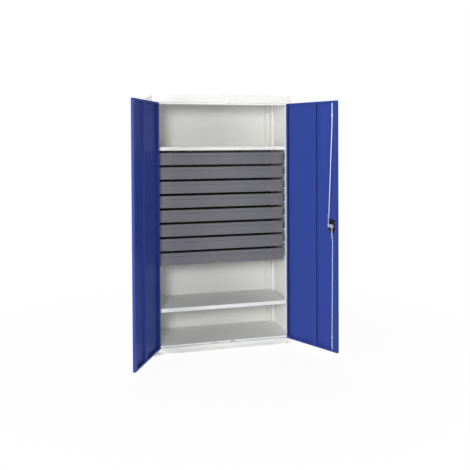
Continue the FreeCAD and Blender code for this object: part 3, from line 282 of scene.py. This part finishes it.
GRAIN_SHEEN = 0.12
GRAIN_DEPTH = 0.00003
SPOT_WIDTH = 0.012
SPOT_RANGE = (0.5, 0.75)
SPOT_SHINES = 0.10
MOULDED_SHINE = 0.2


def moulded(name, colour, grain, roughness=0.42, depth=GRAIN_DEPTH, rubbed_tint=1.7):
    """Moulded plastic or rubber: even grain with lighter rubbed spots."""
    material, shader, place = start_material(name)
    grains = noise(place, grain)
    spots = between(noise(place, SPOT_WIDTH, detail=4), *SPOT_RANGE)
    base = blend(spots, colour, tinted(colour, rubbed_tint))
    sheen = roughness + swing(grains, GRAIN_SHEEN) - spots * SPOT_SHINES
    set_shader(shader, base, sheen, bump(grains, depth), {"Specular IOR Level": MOULDED_SHINE})
    return material


# Chrome: the same for its turning marks and fingerprints

CHROME_ROUGHNESS = 0.08
MARK_WIDTH = 0.0004
MARK_DEPTH = 0.000008
PRINT_WIDTH = 0.006
PRINT_RANGE = (0.5, 0.7)
PRINT_TINT = 0.85
PRINT_DULLS = 0.16


def polished(name, colour):
    """Chromed metal: mirror-like, with fine turning marks and a few fingerprints."""
    material, shader, place = start_material(name)
    marks = noise(place, MARK_WIDTH)
    prints = between(noise(place, PRINT_WIDTH, detail=3), *PRINT_RANGE)
    base = blend(prints, colour, tinted(colour, PRINT_TINT))
    sheen = prints * PRINT_DULLS + CHROME_ROUGHNESS
    set_shader(shader, base, sheen, bump(marks, MARK_DEPTH), {"Metallic": 1.0})
    return material


def paint(material, *names):
    """Gives CAD nodes a material."""
    for name in names:
        mesh = NODES[name].data
        mesh.materials.clear()
        mesh.materials.append(material)


def each_side(*patterns):
    return [pattern.format(side) for pattern in patterns for side in ("left", "right")]


# Surfaces. A loop is a row of points round an axis, as complex numbers: side way + other way * i.

LOOP_POINTS = 96
AROUND = np.linspace(0, 2 * math.pi, LOOP_POINTS, endpoint=False)
TURN = np.exp(1j * AROUND)
QUARTER = np.linspace(0, math.pi / 2, 6)
WORLD_UP = np.array((0.0, 0.0, 1.0))
SHARP_ANGLE = math.radians(32)
MERGE_WITHIN = 1e-6


def surface(name, grids, closed_along=False):
    """A mesh through grids of points, where each four neighbours make a face.

    Faces join the last column of a grid to its first, and its last row to its first if closed_along.
    """
    spots, faces, start = [], [], 0
    for grid in grids:
        rows, columns = grid.shape[:2]
        i = np.arange(rows if closed_along else rows - 1)[:, None]
        j = np.arange(columns)[None, :]
        down, over = (i + 1) % rows, (j + 1) % columns
        quads = [i * columns + j, down * columns + j, down * columns + over, i * columns + over]
        faces.append(start + np.stack(quads, axis=-1).reshape(-1, 4))
        spots.append(grid.reshape(-1, 3))
        start += rows * columns
    mesh = bpy.data.meshes.new(name)
    mesh.from_pydata(np.concatenate(spots).tolist(), [], np.concatenate(faces).tolist())
    work = bmesh.new()
    work.from_mesh(mesh)
    bmesh.ops.remove_doubles(work, verts=work.verts, dist=MERGE_WITHIN)
    bmesh.ops.recalc_face_normals(work, faces=work.faces)
    work.to_mesh(mesh)
    work.free()
    mesh.validate()
    mesh.shade_smooth()
    mesh.set_sharp_from_angle(angle=SHARP_ANGLE)
    made = bpy.data.objects.new(name, mesh)
    bpy.context.collection.objects.link(made)
    return made


def turned(centre, axis, side, rows):
    """A grid round an axis: point = centre + level * axis + the loop's two parts * side and other way.

    Each row is a loop and its level along the axis. The first and last rows are points on the axis,
    or the rows close on each other where the piece is a ring.
    """
    axis, side = np.asarray(axis, float), np.asarray(side, float)
    other = np.cross(axis, side)
    loops = np.stack([loop * np.ones_like(TURN) for loop, _ in rows])[..., None]
    levels = np.stack([level * np.ones(LOOP_POINTS) for _, level in rows])[..., None]
    return np.asarray(centre, float) + levels * axis + loops.real * side + loops.imag * other


def squircle(half_side, half_other, power):
    """A loop between an ellipse (power 2) and a rectangle (high power).

    At each point the two parts, each over its half length and raised to the power, add up to 1.
    """
    reach = (np.abs(TURN.real / half_side) ** power + np.abs(TURN.imag / half_other) ** power) ** (-1 / power)
    return reach * TURN


def widest(first, second, power=8):
    """The outline round two loops laid over each other, smooth where they cross.

    Its reach raised to the power is the sum of the two reaches, each raised to the power.
    """
    return (np.abs(first) ** power + np.abs(second) ** power) ** (1 / power) * TURN


def fit_on(piece, body, slot, material, *stands_for):
    """Gives a finished piece its material and body, and hides the CAD nodes that it stands for. The slot is
    not used.
    """
    piece.data.materials.append(material)
    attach(piece, body)
    if stands_for:
        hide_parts(*stands_for)


# Operators: one for each piece or group of like pieces

def settings(context):
    return context.scene.cabinet_colours, context.scene.cabinet_sizes


class CABINET_OT_carcass(bpy.types.Operator):
    """Paints the carcass with its slotted uprights, shelves and hinge leaves"""
    bl_idname = "cabinet.carcass"
    bl_label = "Carcass and shelves"

    def execute(self, context):
        colours, sizes = settings(context)
        coat = powder_coat("carcass_powder_coat", colours.carcass, sizes.peel, roughness=0.42,
                           drift=0.02, shine=0.35)
        paint(coat, *each_side("{}_side_panel", "{}_front_upright", "{}_rear_upright"), "back_panel",
              "top_panel", "bottom_panel", "plinth_frame", "rear_strips", "lower_shelf", "upper_shelf",
              "frame_hinge_leaves")
        return {"FINISHED"}


class CABINET_OT_doors(bpy.types.Operator):
    """Paints the doors with their ribs, edge channels and hinge leaves"""
    bl_idname = "cabinet.doors"
    bl_label = "Doors"

    def execute(self, context):
        colours, sizes = settings(context)
        coat = powder_coat("door_powder_coat", colours.doors, sizes.peel, roughness=0.34, shine=0.05)
        paint(coat, *each_side("{}_door_panel", "{}_door_edge_channel", "{}_door_rib",
                               "{}_door_hinge_leaves"))
        return {"FINISHED"}


class CABINET_OT_drawers(bpy.types.Operator):
    """Paints the drawer fronts and trays"""
    bl_idname = "cabinet.drawers"
    bl_label = "Drawers"

    def execute(self, context):
        colours, sizes = settings(context)
        coat = powder_coat("drawer_powder_coat", colours.drawers, sizes.peel, roughness=0.45)
        for number in DRAWERS:
            paint(coat, f"drawer_{number}_front", f"drawer_{number}_tray")
        return {"FINISHED"}


class CABINET_OT_steel(bpy.types.Operator):
    """Plates the slides, clips, hinge pins and rods, and finishes the rods' bushings"""
    bl_idname = "cabinet.steel"
    bl_label = "Plated steel and bushings"

    def execute(self, context):
        colours, sizes = settings(context)
        fine = 0.5 * sizes.spangle
        slides = zinc_plating("zinc_drawn_slides", colours.zinc, sizes.spangle, roughness=0.26,
                              stretch=(1, DRAWN_OUT, 1))
        # The rods' bluish colour is partly their plating and partly a painted reflection of the blue door.
        rods = zinc_plating("zinc_drawn_rods", colours.rods, fine, roughness=0.34, stretch=(1, 1, DRAWN_OUT))
        fittings = zinc_plating("zinc_fittings", colours.zinc, fine, roughness=0.34)
        paint(slides, *each_side("{}_slide_channels"), *(f"drawer_{number}_runners" for number in DRAWERS))
        paint(rods, "upper_lock_rod", "lower_lock_rod")
        paint(fittings, "hinge_pins", "shelf_clips")
        paint(moulded("bushing_moulding", colours.black, sizes.grain), "rod_bushings")
        return {"FINISHED"}


# Rod lock. Levels count out of the right door from its front, so its inside is below 0.

LOCK = next(joint for joint in frame["joints"] if joint["name"] == "lock_turn")
LOCK_CENTRE = np.array(LOCK["pos_m"])
OUTWARD = np.array(LOCK["axis"])
HINGEWARD = np.cross(WORLD_UP, OUTWARD)
DOOR_SHEET = 0.001
# Radii of the grip's neck and of the bore that it turns in
NECK = 0.008
NECK_BORE = 0.0083


def lock_place(across=0.0, up=0.0, out=0.0):
    """A place from the lock's centre on the door's front: towards the hinge, up and out of the door."""
    return LOCK_CENTRE + across * HINGEWARD + up * WORLD_UP + out * OUTWARD


def lock_turned(rows, across=0.0, up=0.0):
    """A grid round an axis out of the right door, its levels counted from the door's front."""
    return turned(lock_place(across, up), OUTWARD, HINGEWARD, rows)


# The case: its levels, its reach each way from the spindle, and the power that shapes its corners
CASE_FOOT = -DOOR_SHEET
CASE_TOP = -0.011
CASE_TO_HINGE = 0.024
CASE_TO_EDGE = 0.042
CASE_HALF_HIGH = 0.042
CASE_CORNER = 12
# The cut across its upper free corner: distance, direction, and the cosine where it ends
CUT_REACH = 0.0438
CUT_WAY = math.radians(135)
CUT_COSINE = 0.2
# Its face: width of the rim, width and depth of the step down to the field, and the collar's radius
CASE_RIM = 0.004
CASE_STEP = 0.001
CASE_SUNK = 0.0012
COLLAR = 0.0135


def case_outline(inset):
    """The case's outline: a soft rectangle round the spindle, cut across its upper free corner.

    At each angle the cut lies at its distance over the cosine of the angle from its direction.
    """
    half_side = np.where(TURN.real > 0, CASE_TO_HINGE, CASE_TO_EDGE) - inset
    loop = squircle(half_side, CASE_HALF_HIGH - inset, CASE_CORNER)
    cosine = np.cos(AROUND - CUT_WAY)
    cut = np.where(cosine > CUT_COSINE, (CUT_REACH - inset) / np.maximum(cosine, CUT_COSINE), np.inf)
    return np.minimum(np.abs(loop), cut) * TURN


def lock_case(edge):
    """Moulded case: a wall, a rounded edge as a quarter ellipse, a rim, a sunk field and a neck's collar."""
    rounding = [(case_outline(edge * (1 - math.cos(a))), CASE_TOP + edge * (1 - math.sin(a)))
                for a in QUARTER]
    rim, field = edge + CASE_RIM, CASE_TOP + CASE_SUNK
    rows = [(NECK_BORE * TURN, CASE_FOOT), (case_outline(0), CASE_FOOT), *rounding,
            (case_outline(rim), CASE_TOP), (case_outline(rim + CASE_STEP), field),
            ((COLLAR + CASE_STEP) * TURN, field), (COLLAR * TURN, CASE_TOP), (NECK_BORE * TURN, CASE_TOP)]
    return surface("lock_case_moulding", [lock_turned(rows)], closed_along=True)


ROSETTE_HIGH = 0.004
# From the rosette's wall to its seat: how far in from its radius, and the share of its height
ROSETTE_STEPS = ((0, 0), (0, 0.3), (0.0004, 0.5), (0.0014, 0.68), (0.0034, 0.8), (0.0050, 0.86),
                 (0.0054, 1))


def lock_rosette(radius):
    """Turned plate: a low wall, a hollow slope and a raised seat for the grip's disc."""
    steps = [((radius - inset) * TURN, share * ROSETTE_HIGH) for inset, share in ROSETTE_STEPS]
    rows = [(NECK_BORE * TURN, 0), *steps, (NECK_BORE * TURN, ROSETTE_HIGH)]
    return surface("lock_rosette_plate", [lock_turned(rows)], closed_along=True)


# The grip: half width and end of its square spindle, the level of its foot, the chamfer there, and
# the share of its height up to which it is a plain disc
SPINDLE_HALF = 0.004
SPINDLE_END = -0.015
SPINDLE_CORNER = 14
GRIP_FOOT = 0.0044
GRIP_CHAMFER = 0.0008
DISC_SHARE = 0.24
BAR_CORNER = 3.2
# The grip's bar from its foot up: share of the height, and how much its length, its width and
# the disc's radius are below their full sizes
BAR_STEPS = ((0.27, 0.004, 0.002, 0), (0.33, 0.0008, 0.0004, 0), (0.42, 0, 0, 0),
             (0.62, 0.0008, 0.0016, 0.001), (0.80, 0.0020, 0.0030, 0.0025),
             (0.92, 0.0040, 0.0046, 0.004), (0.98, 0.0070, 0.0064, 0.0052),
             (1.0, 0.0110, 0.0084, 0.0064))
# The key plug's bore: its radius, and the level of its floor
PLUG_BORE = 0.0078
PLUG_FLOOR = 0.0084
# The rim round the key plug: how far out from its bore, and how far below the bar's end
PLUG_RIM = ((0.0016, 0.0002), (0.0004, 0), (0, 0.0005))


def turning_grip(sizes):
    """Square spindle, neck, disc and bar, with a bore for the key plug in the bar's end.

    The bar's outline at each level is a soft rectangle laid over a disc.
    """
    high = sizes.grip_height
    end = GRIP_FOOT + high
    spindle = squircle(SPINDLE_HALF, SPINDLE_HALF, SPINDLE_CORNER)
    disc = sizes.grip_disc * TURN
    rows = [(0 * TURN, SPINDLE_END), (spindle, SPINDLE_END), (spindle, CASE_TOP), (NECK * TURN, CASE_TOP),
            (NECK * TURN, GRIP_FOOT), ((sizes.grip_disc - GRIP_CHAMFER) * TURN, GRIP_FOOT),
            (disc, GRIP_FOOT + GRIP_CHAMFER), (disc, GRIP_FOOT + DISC_SHARE * high)]
    for share, shorter, slimmer, smaller in BAR_STEPS:
        bar = squircle((sizes.grip_length - shorter) / 2, (sizes.grip_width - slimmer) / 2, BAR_CORNER)
        rows.append((widest(bar, (sizes.grip_disc - smaller) * TURN), GRIP_FOOT + share * high))
    rows += [((PLUG_BORE + out) * TURN, end - below) for out, below in PLUG_RIM]
    rows += [(PLUG_BORE * TURN, PLUG_FLOOR), (0 * TURN, PLUG_FLOOR)]
    return surface("lock_grip_moulding", [lock_turned(rows)])


# The screws: places from the spindle, towards the hinge and up, and how much darker than bright zinc
SCREW_PLACES = ((0.0185, -0.0365), (0.0185, 0.0365), (-0.0365, -0.0365), (-0.0355, 0.0185))
SCREW_TINT = 0.35
# A head: height and foot as shares of its radius, how deep it sits, and shares of its height
SCREW_HIGH = 0.5
SCREW_FOOT = 0.96
SCREW_SUNK = 0.0004
SCREW_WALL = 0.1
SCREW_FALL = 0.95
# Shares of the radius where the dome has its rings, and where the cross has them with its depth there
DOME_SHARES = (0.95, 0.85, 0.7, 0.6)
CROSS_STEPS = ((0.55, 0.5), (0.45, 0.9), (0.25, 1.0), (0.12, 1.0))
CROSS_SUNK = 0.6
CROSS_HUB = 0.2
ARM_COSINE = 0.2
ARM_STEEPNESS = 2.5


def screw_head(radius, across, up):
    """Pan head: height falls off as a quarter ellipse, and a cross of four arms is sunk in its middle.

    An arm is where the cosine of four times the angle is high, and near the centre all is sunk.
    """
    high = SCREW_HIGH * radius
    arms = np.clip((np.cos(4 * AROUND) - ARM_COSINE) * ARM_STEEPNESS, 0, 1)

    def dome(share):
        return CASE_TOP - high * math.sqrt(1 - share ** 2 * SCREW_FALL)

    rows = [(0 * TURN, CASE_TOP + SCREW_SUNK), (SCREW_FOOT * radius * TURN, CASE_TOP + SCREW_SUNK),
            (radius * TURN, CASE_TOP - SCREW_WALL * high)]
    rows += [(share * radius * TURN, dome(share)) for share in DOME_SHARES]
    for share, sunk in CROSS_STEPS:
        cross = np.maximum(arms, share < CROSS_HUB)
        rows.append((share * radius * TURN, dome(share) + CROSS_SUNK * high * sunk * cross))
    rows.append((0 * TURN, dome(0) + CROSS_SUNK * high))
    return lock_turned(rows, across, up)


class CABINET_OT_lock(bpy.types.Operator):
    """Makes the lock's case, rosette, grip and screws, and finishes the key plug and the crank"""
    bl_idname = "cabinet.lock"
    bl_label = "Rod lock"

    def execute(self, context):
        colours, sizes = settings(context)
        plastic = moulded("black_moulding", colours.black, sizes.grain)
        coat = powder_coat("grip_powder_coat", colours.black, sizes.grain, roughness=0.38, drift=0.1,
                           depth=GRAIN_DEPTH)
        dark = zinc_plating("zinc_screws", tinted(colours.zinc, SCREW_TINT), sizes.spangle)
        heads = [screw_head(sizes.screw, across, up) for across, up in SCREW_PLACES]
        fit_on(lock_case(sizes.case_edge), "right_door", "black_plastic", plastic, "lock_case")
        fit_on(lock_rosette(sizes.rosette), "right_door", "black_plastic", plastic, "lock_rosette")
        fit_on(turning_grip(sizes), "lock_grip", "black_casting", coat, "lock_grip")
        fit_on(surface("case_screws", heads), "right_door", "zinc_steel", dark)
        paint(zinc_plating("zinc_stamped", colours.zinc, sizes.spangle), "lock_crank")
        paint(polished("plug_chrome", colours.zinc), "key_plug")
        return {"FINISHED"}


# Rod guides and pads

# The rods: depth behind the door's front, and place across from the spindle
ROD_DEPTH = 0.010
UPPER_ROD_ACROSS = -0.014
LOWER_ROD_ACROSS = -0.010
# A guide: its bore, its half width, its arch's radius, and how far it reaches to the door's skin
ROD_BORE = 0.0044
GUIDE_HALF_WIDE = 0.008
GUIDE_ARCH = 0.0059
GUIDE_DEPTH = ROD_DEPTH - DOOR_SHEET
# The sine of the way down at which the foot is full, and one that keeps a division from zero
FOOT_SINE = 0.5
LEAST_SINE = 1e-6
LEVEL_DIGITS = 5


def saddle_outline(smaller):
    """A rod guide seen along its rod: an arch over the rod that widens to a foot on the door's skin.

    Down from the rod it reaches the nearer of the foot's flat and the side wall, up from it the arch,
    and a smooth step joins them.
    """
    downward = np.maximum(-TURN.imag, LEAST_SINE)
    sideways = np.maximum(np.abs(TURN.real), LEAST_SINE)
    foot = np.minimum(GUIDE_DEPTH / downward, (GUIDE_HALF_WIDE - smaller) / sideways)
    share = np.clip(downward / FOOT_SINE, 0, 1)
    arch = GUIDE_ARCH - smaller
    return (arch + (foot - arch) * share ** 2 * (3 - 2 * share)) * TURN


def rod_guide(across, low, high, chamfer):
    """One saddle: the outline drawn along the rod, chamfered at both ends, and the bore back through it."""
    rows = [(ROD_BORE * TURN, low), (saddle_outline(chamfer), low), (saddle_outline(0), low + chamfer),
            (saddle_outline(0), high - chamfer), (saddle_outline(chamfer), high), (ROD_BORE * TURN, high)]
    return turned(lock_place(across, -LOCK_CENTRE[2], -ROD_DEPTH), WORLD_UP, HINGEWARD, rows)


PAD_CORNER = 5
PAD_ROUNDING = 0.8


def pad(middle, half_wide, half_high, thick):
    """A soft pad on a stop: a long rounded outline with a low rounded edge, as a quarter ellipse."""
    rows = [(0 * TURN, 0)]
    for a in QUARTER:
        inset = PAD_ROUNDING * thick * (1 - math.cos(a))
        rows.append((squircle(half_wide - inset, half_high - inset, PAD_CORNER), thick * math.sin(a)))
    return turned(middle, (0, -1, 0), (1, 0, 0), rows + [(0 * TURN, thick)])


class CABINET_OT_guides(bpy.types.Operator):
    """Makes the saddles that the rods slide in and the pads that the doors shut against"""
    bl_idname = "cabinet.guides"
    bl_label = "Rod guides and pads"

    def execute(self, context):
        colours, sizes = settings(context)
        # The CAD guides have points at their ends alone: two levels each, from the lowest guide up
        heights = [vertex.co.z for vertex in NODES["rod_guides"].data.vertices]
        ends = np.unique(np.round(heights, LEVEL_DIGITS)).reshape(-1, 2)
        saddles = [rod_guide(LOWER_ROD_ACROSS if low < LOCK_CENTRE[2] else UPPER_ROD_ACROSS, low, high,
                             sizes.guide_chamfer) for low, high in ends]
        steel = zinc_plating("zinc_guides", colours.zinc, sizes.spangle)
        fit_on(surface("rod_guide_saddles", saddles, closed_along=True), "right_door", "zinc_steel", steel,
               "rod_guides")
        low, high = (np.array(corner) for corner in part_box("door_buffers"))
        half_wide, half_high, thick = sizes.pad_width / 2, (high - low)[2] / 2, (high - low)[1]
        pads = [pad((sign * (high[0] - half_wide), high[1], (low + high)[2] / 2), half_wide, half_high, thick)
                for sign in (-1, 1)]
        rubber = moulded("pad_rubber", colours.rubber, sizes.grain, roughness=0.6, depth=0.00005,
                         rubbed_tint=1.1)
        fit_on(surface("door_pads", pads), "cabinet", "pale_rubber", rubber, "door_buffers")
        return {"FINISHED"}


# Stage: camera, lamps, room and floor

# The camera, with its focal length and its image's centre in pixels of the image
FOCAL_PIXELS = 653.6158
IMAGE_PIXELS = 470
PRINCIPAL_POINT = (244.4591, 156.2614)
CAMERA_PLACE = (-1.078640, -4.686643, 1.462815)
CAMERA_YAW = 0.268609
CAMERA_PITCH = 0.0199758
CAMERA_ROLL = -0.0048741
CAMERA_REACH = 100
SENSOR = 36.0


def camera_axes():
    """The camera's right, up and forward directions: a level right way and its up way, rolled."""
    yaw, pitch, roll = CAMERA_YAW, CAMERA_PITCH, CAMERA_ROLL
    forward = Vector((math.sin(yaw) * math.cos(pitch), math.cos(yaw) * math.cos(pitch), -math.sin(pitch)))
    right = Vector((math.cos(yaw), -math.sin(yaw), 0))
    up = right.cross(forward)
    return (right * math.cos(roll) + up * math.sin(roll), up * math.cos(roll) - right * math.sin(roll),
            forward)


def add_camera():
    data = bpy.data.cameras.new("camera")
    data.sensor_width = SENSOR
    data.lens = FOCAL_PIXELS / IMAGE_PIXELS * SENSOR
    data.shift_x = 0.5 - PRINCIPAL_POINT[0] / IMAGE_PIXELS
    data.shift_y = PRINCIPAL_POINT[1] / IMAGE_PIXELS - 0.5
    data.clip_end = CAMERA_REACH
    camera = bpy.data.objects.new("camera", data)
    right, up, forward = camera_axes()
    turn = Matrix((right, up, -forward)).transposed().to_4x4()
    camera.matrix_world = Matrix.Translation(CAMERA_PLACE) @ turn
    bpy.context.collection.objects.link(camera)
    bpy.context.scene.camera = camera


# Each lamp's place, what it points at, and its width
LAMPS = {
    "main": ((-2.0, -5.6, 2.2), (0, 0, 0.8), 1.2),
    "left": ((-4.6, -3.6, 1.5), (0, 0, 0.8), 2.4),
    "right": ((4.4, -3.6, 1.8), (0, 0, 0.9), 2.4),
    "back": ((1.2, 5.2, 3.0), (0, 0, 0.9), 2.4),
}


def add_lamp(name, place, aim, width, power):
    data = bpy.data.lights.new(name, "AREA")
    data.shape = "DISK"
    data.size = width
    data.energy = power
    lamp = bpy.data.objects.new(name, data)
    direction = Vector(aim) - Vector(place)
    lamp.matrix_world = Matrix.Translation(place) @ direction.to_track_quat("-Z", "Y").to_matrix().to_4x4()
    bpy.context.collection.objects.link(lamp)


WHITE = (1, 1, 1, 1)


def light_path(tree):
    """1 for what the camera sees, and 1 for what is mirrored or seen through a piece."""
    path = tree.nodes.new("ShaderNodeLightPath")
    seen, glossy, through = (Shade(tree, path.outputs[f"Is {kind} Ray"])
                             for kind in ("Camera", "Glossy", "Transmission"))
    return seen, glossy.math("MAXIMUM", glossy, through)


def add_world(ambient, mirrored):
    """White for what the camera sees, a softer white for what is mirrored, and an even light for the rest."""
    world = bpy.data.worlds.new("studio")
    world.use_nodes = True
    bpy.context.scene.world = world
    tree = world.node_tree
    tree.nodes.clear()
    seen, reflected = light_path(tree)
    light = reflected * (mirrored - ambient) + ambient
    strength = light + seen * (1 - light)
    back = seen.node("ShaderNodeBackground", None, {"Color": WHITE, "Strength": strength})
    back.node("ShaderNodeOutputWorld", None, {"Surface": back})


# The floor: its size, its tones, and how far out it turns white
FLOOR_RADIUS = 30.0
FLOOR_LEVEL = -0.0005
FLOOR_RINGS = 15
FLOOR_SPOKES = 64
FLOOR_TONES = (0.93, 0.96)
FLOOR_TONE_WIDTH = 1.2
FLOOR_ROUGHNESS = 0.55
FLOOR_SHEEN = 0.1
WHITE_RANGE = (0.9, 2.6)


def add_floor(whitening, mirrored):
    """A round floor: rings about the middle at evenly spaced radii, joined as one flat surface.

    It takes shadows near the cabinet and turns to the background's white further out.
    """
    radii = np.linspace(0, FLOOR_RADIUS, FLOOR_RINGS)
    angles = np.linspace(0, 2 * math.pi, FLOOR_SPOKES, endpoint=False)
    grid = np.stack([np.outer(radii, np.cos(angles)), np.outer(radii, np.sin(angles)),
                     np.full((FLOOR_RINGS, FLOOR_SPOKES), FLOOR_LEVEL)], axis=-1)
    floor = surface("floor", [grid])
    material, shader, place = start_material("pale_floor")
    tree = material.node_tree
    tone = noise(place, FLOOR_TONE_WIDTH)
    set_shader(shader, blend(tone, *((grey, grey, grey) for grey in FLOOR_TONES)),
               tone * FLOOR_SHEEN + FLOOR_ROUGHNESS)
    away = place.node("ShaderNodeVectorMath", {"operation": "LENGTH"}, {"Vector": place}, output="Value")
    share = whitening + between(away, *WHITE_RANGE) * (1 - whitening)
    seen, reflected = light_path(tree)
    white = place.node("ShaderNodeEmission", None, {"Color": WHITE, "Strength": 1.0})
    lit = Shade(tree, shader.outputs[0])
    whitened = share * (seen + reflected * mirrored)
    mixed = lit.node("ShaderNodeMixShader", None, {0: whitened, 1: lit, 2: white})
    tree.links.new(mixed.socket, next(n for n in tree.nodes if n.type == "OUTPUT_MATERIAL").inputs["Surface"])
    floor.data.materials.append(material)


class CABINET_OT_stage(bpy.types.Operator):
    """Adds the floor, the room light, the lamps and the camera"""
    bl_idname = "cabinet.stage"
    bl_label = "Stage"

    def execute(self, context):
        light = context.scene.cabinet_light
        add_floor(light.whitening, light.mirrored)
        add_world(light.ambient, light.mirrored)
        for name, (place, aim, width) in LAMPS.items():
            add_lamp(f"{name}_lamp", place, aim, width, getattr(light, name))
        add_camera()
        context.scene.view_settings.view_transform = "Standard"
        return {"FINISHED"}


# Add-on

GROUPS = {"cabinet_colours": CabinetColours, "cabinet_sizes": CabinetSizes, "cabinet_light": CabinetLight}
OPERATORS = (CABINET_OT_carcass, CABINET_OT_doors, CABINET_OT_drawers, CABINET_OT_steel, CABINET_OT_lock,
             CABINET_OT_guides, CABINET_OT_stage)


class CABINET_PT_panel(bpy.types.Panel):
    """Lists the cabinet's colours, sizes, lamps and pieces"""
    bl_label = "Drawer cabinet"
    bl_idname = "CABINET_PT_panel"
    bl_space_type = "VIEW_3D"
    bl_region_type = "UI"
    bl_category = "Cabinet"

    def draw(self, context):
        for name in GROUPS:
            group = getattr(context.scene, name)
            for setting in group.__annotations__:
                self.layout.prop(group, setting)
        for operator in OPERATORS:
            self.layout.operator(operator.bl_idname)


def register():
    for made in (*GROUPS.values(), *OPERATORS, CABINET_PT_panel):
        bpy.utils.register_class(made)
    for name, group in GROUPS.items():
        setattr(bpy.types.Scene, name, bpy.props.PointerProperty(type=group))


def unregister():
    for name in GROUPS:
        delattr(bpy.types.Scene, name)
    for made in (CABINET_PT_panel, *reversed(OPERATORS), *reversed(GROUPS.values())):
        bpy.utils.unregister_class(made)


def main():
    register()
    for operator in OPERATORS:
        group, name = operator.bl_idname.split(".")
        getattr(getattr(bpy.ops, group), name)()
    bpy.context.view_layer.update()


if __name__ == "__main__":
    main()
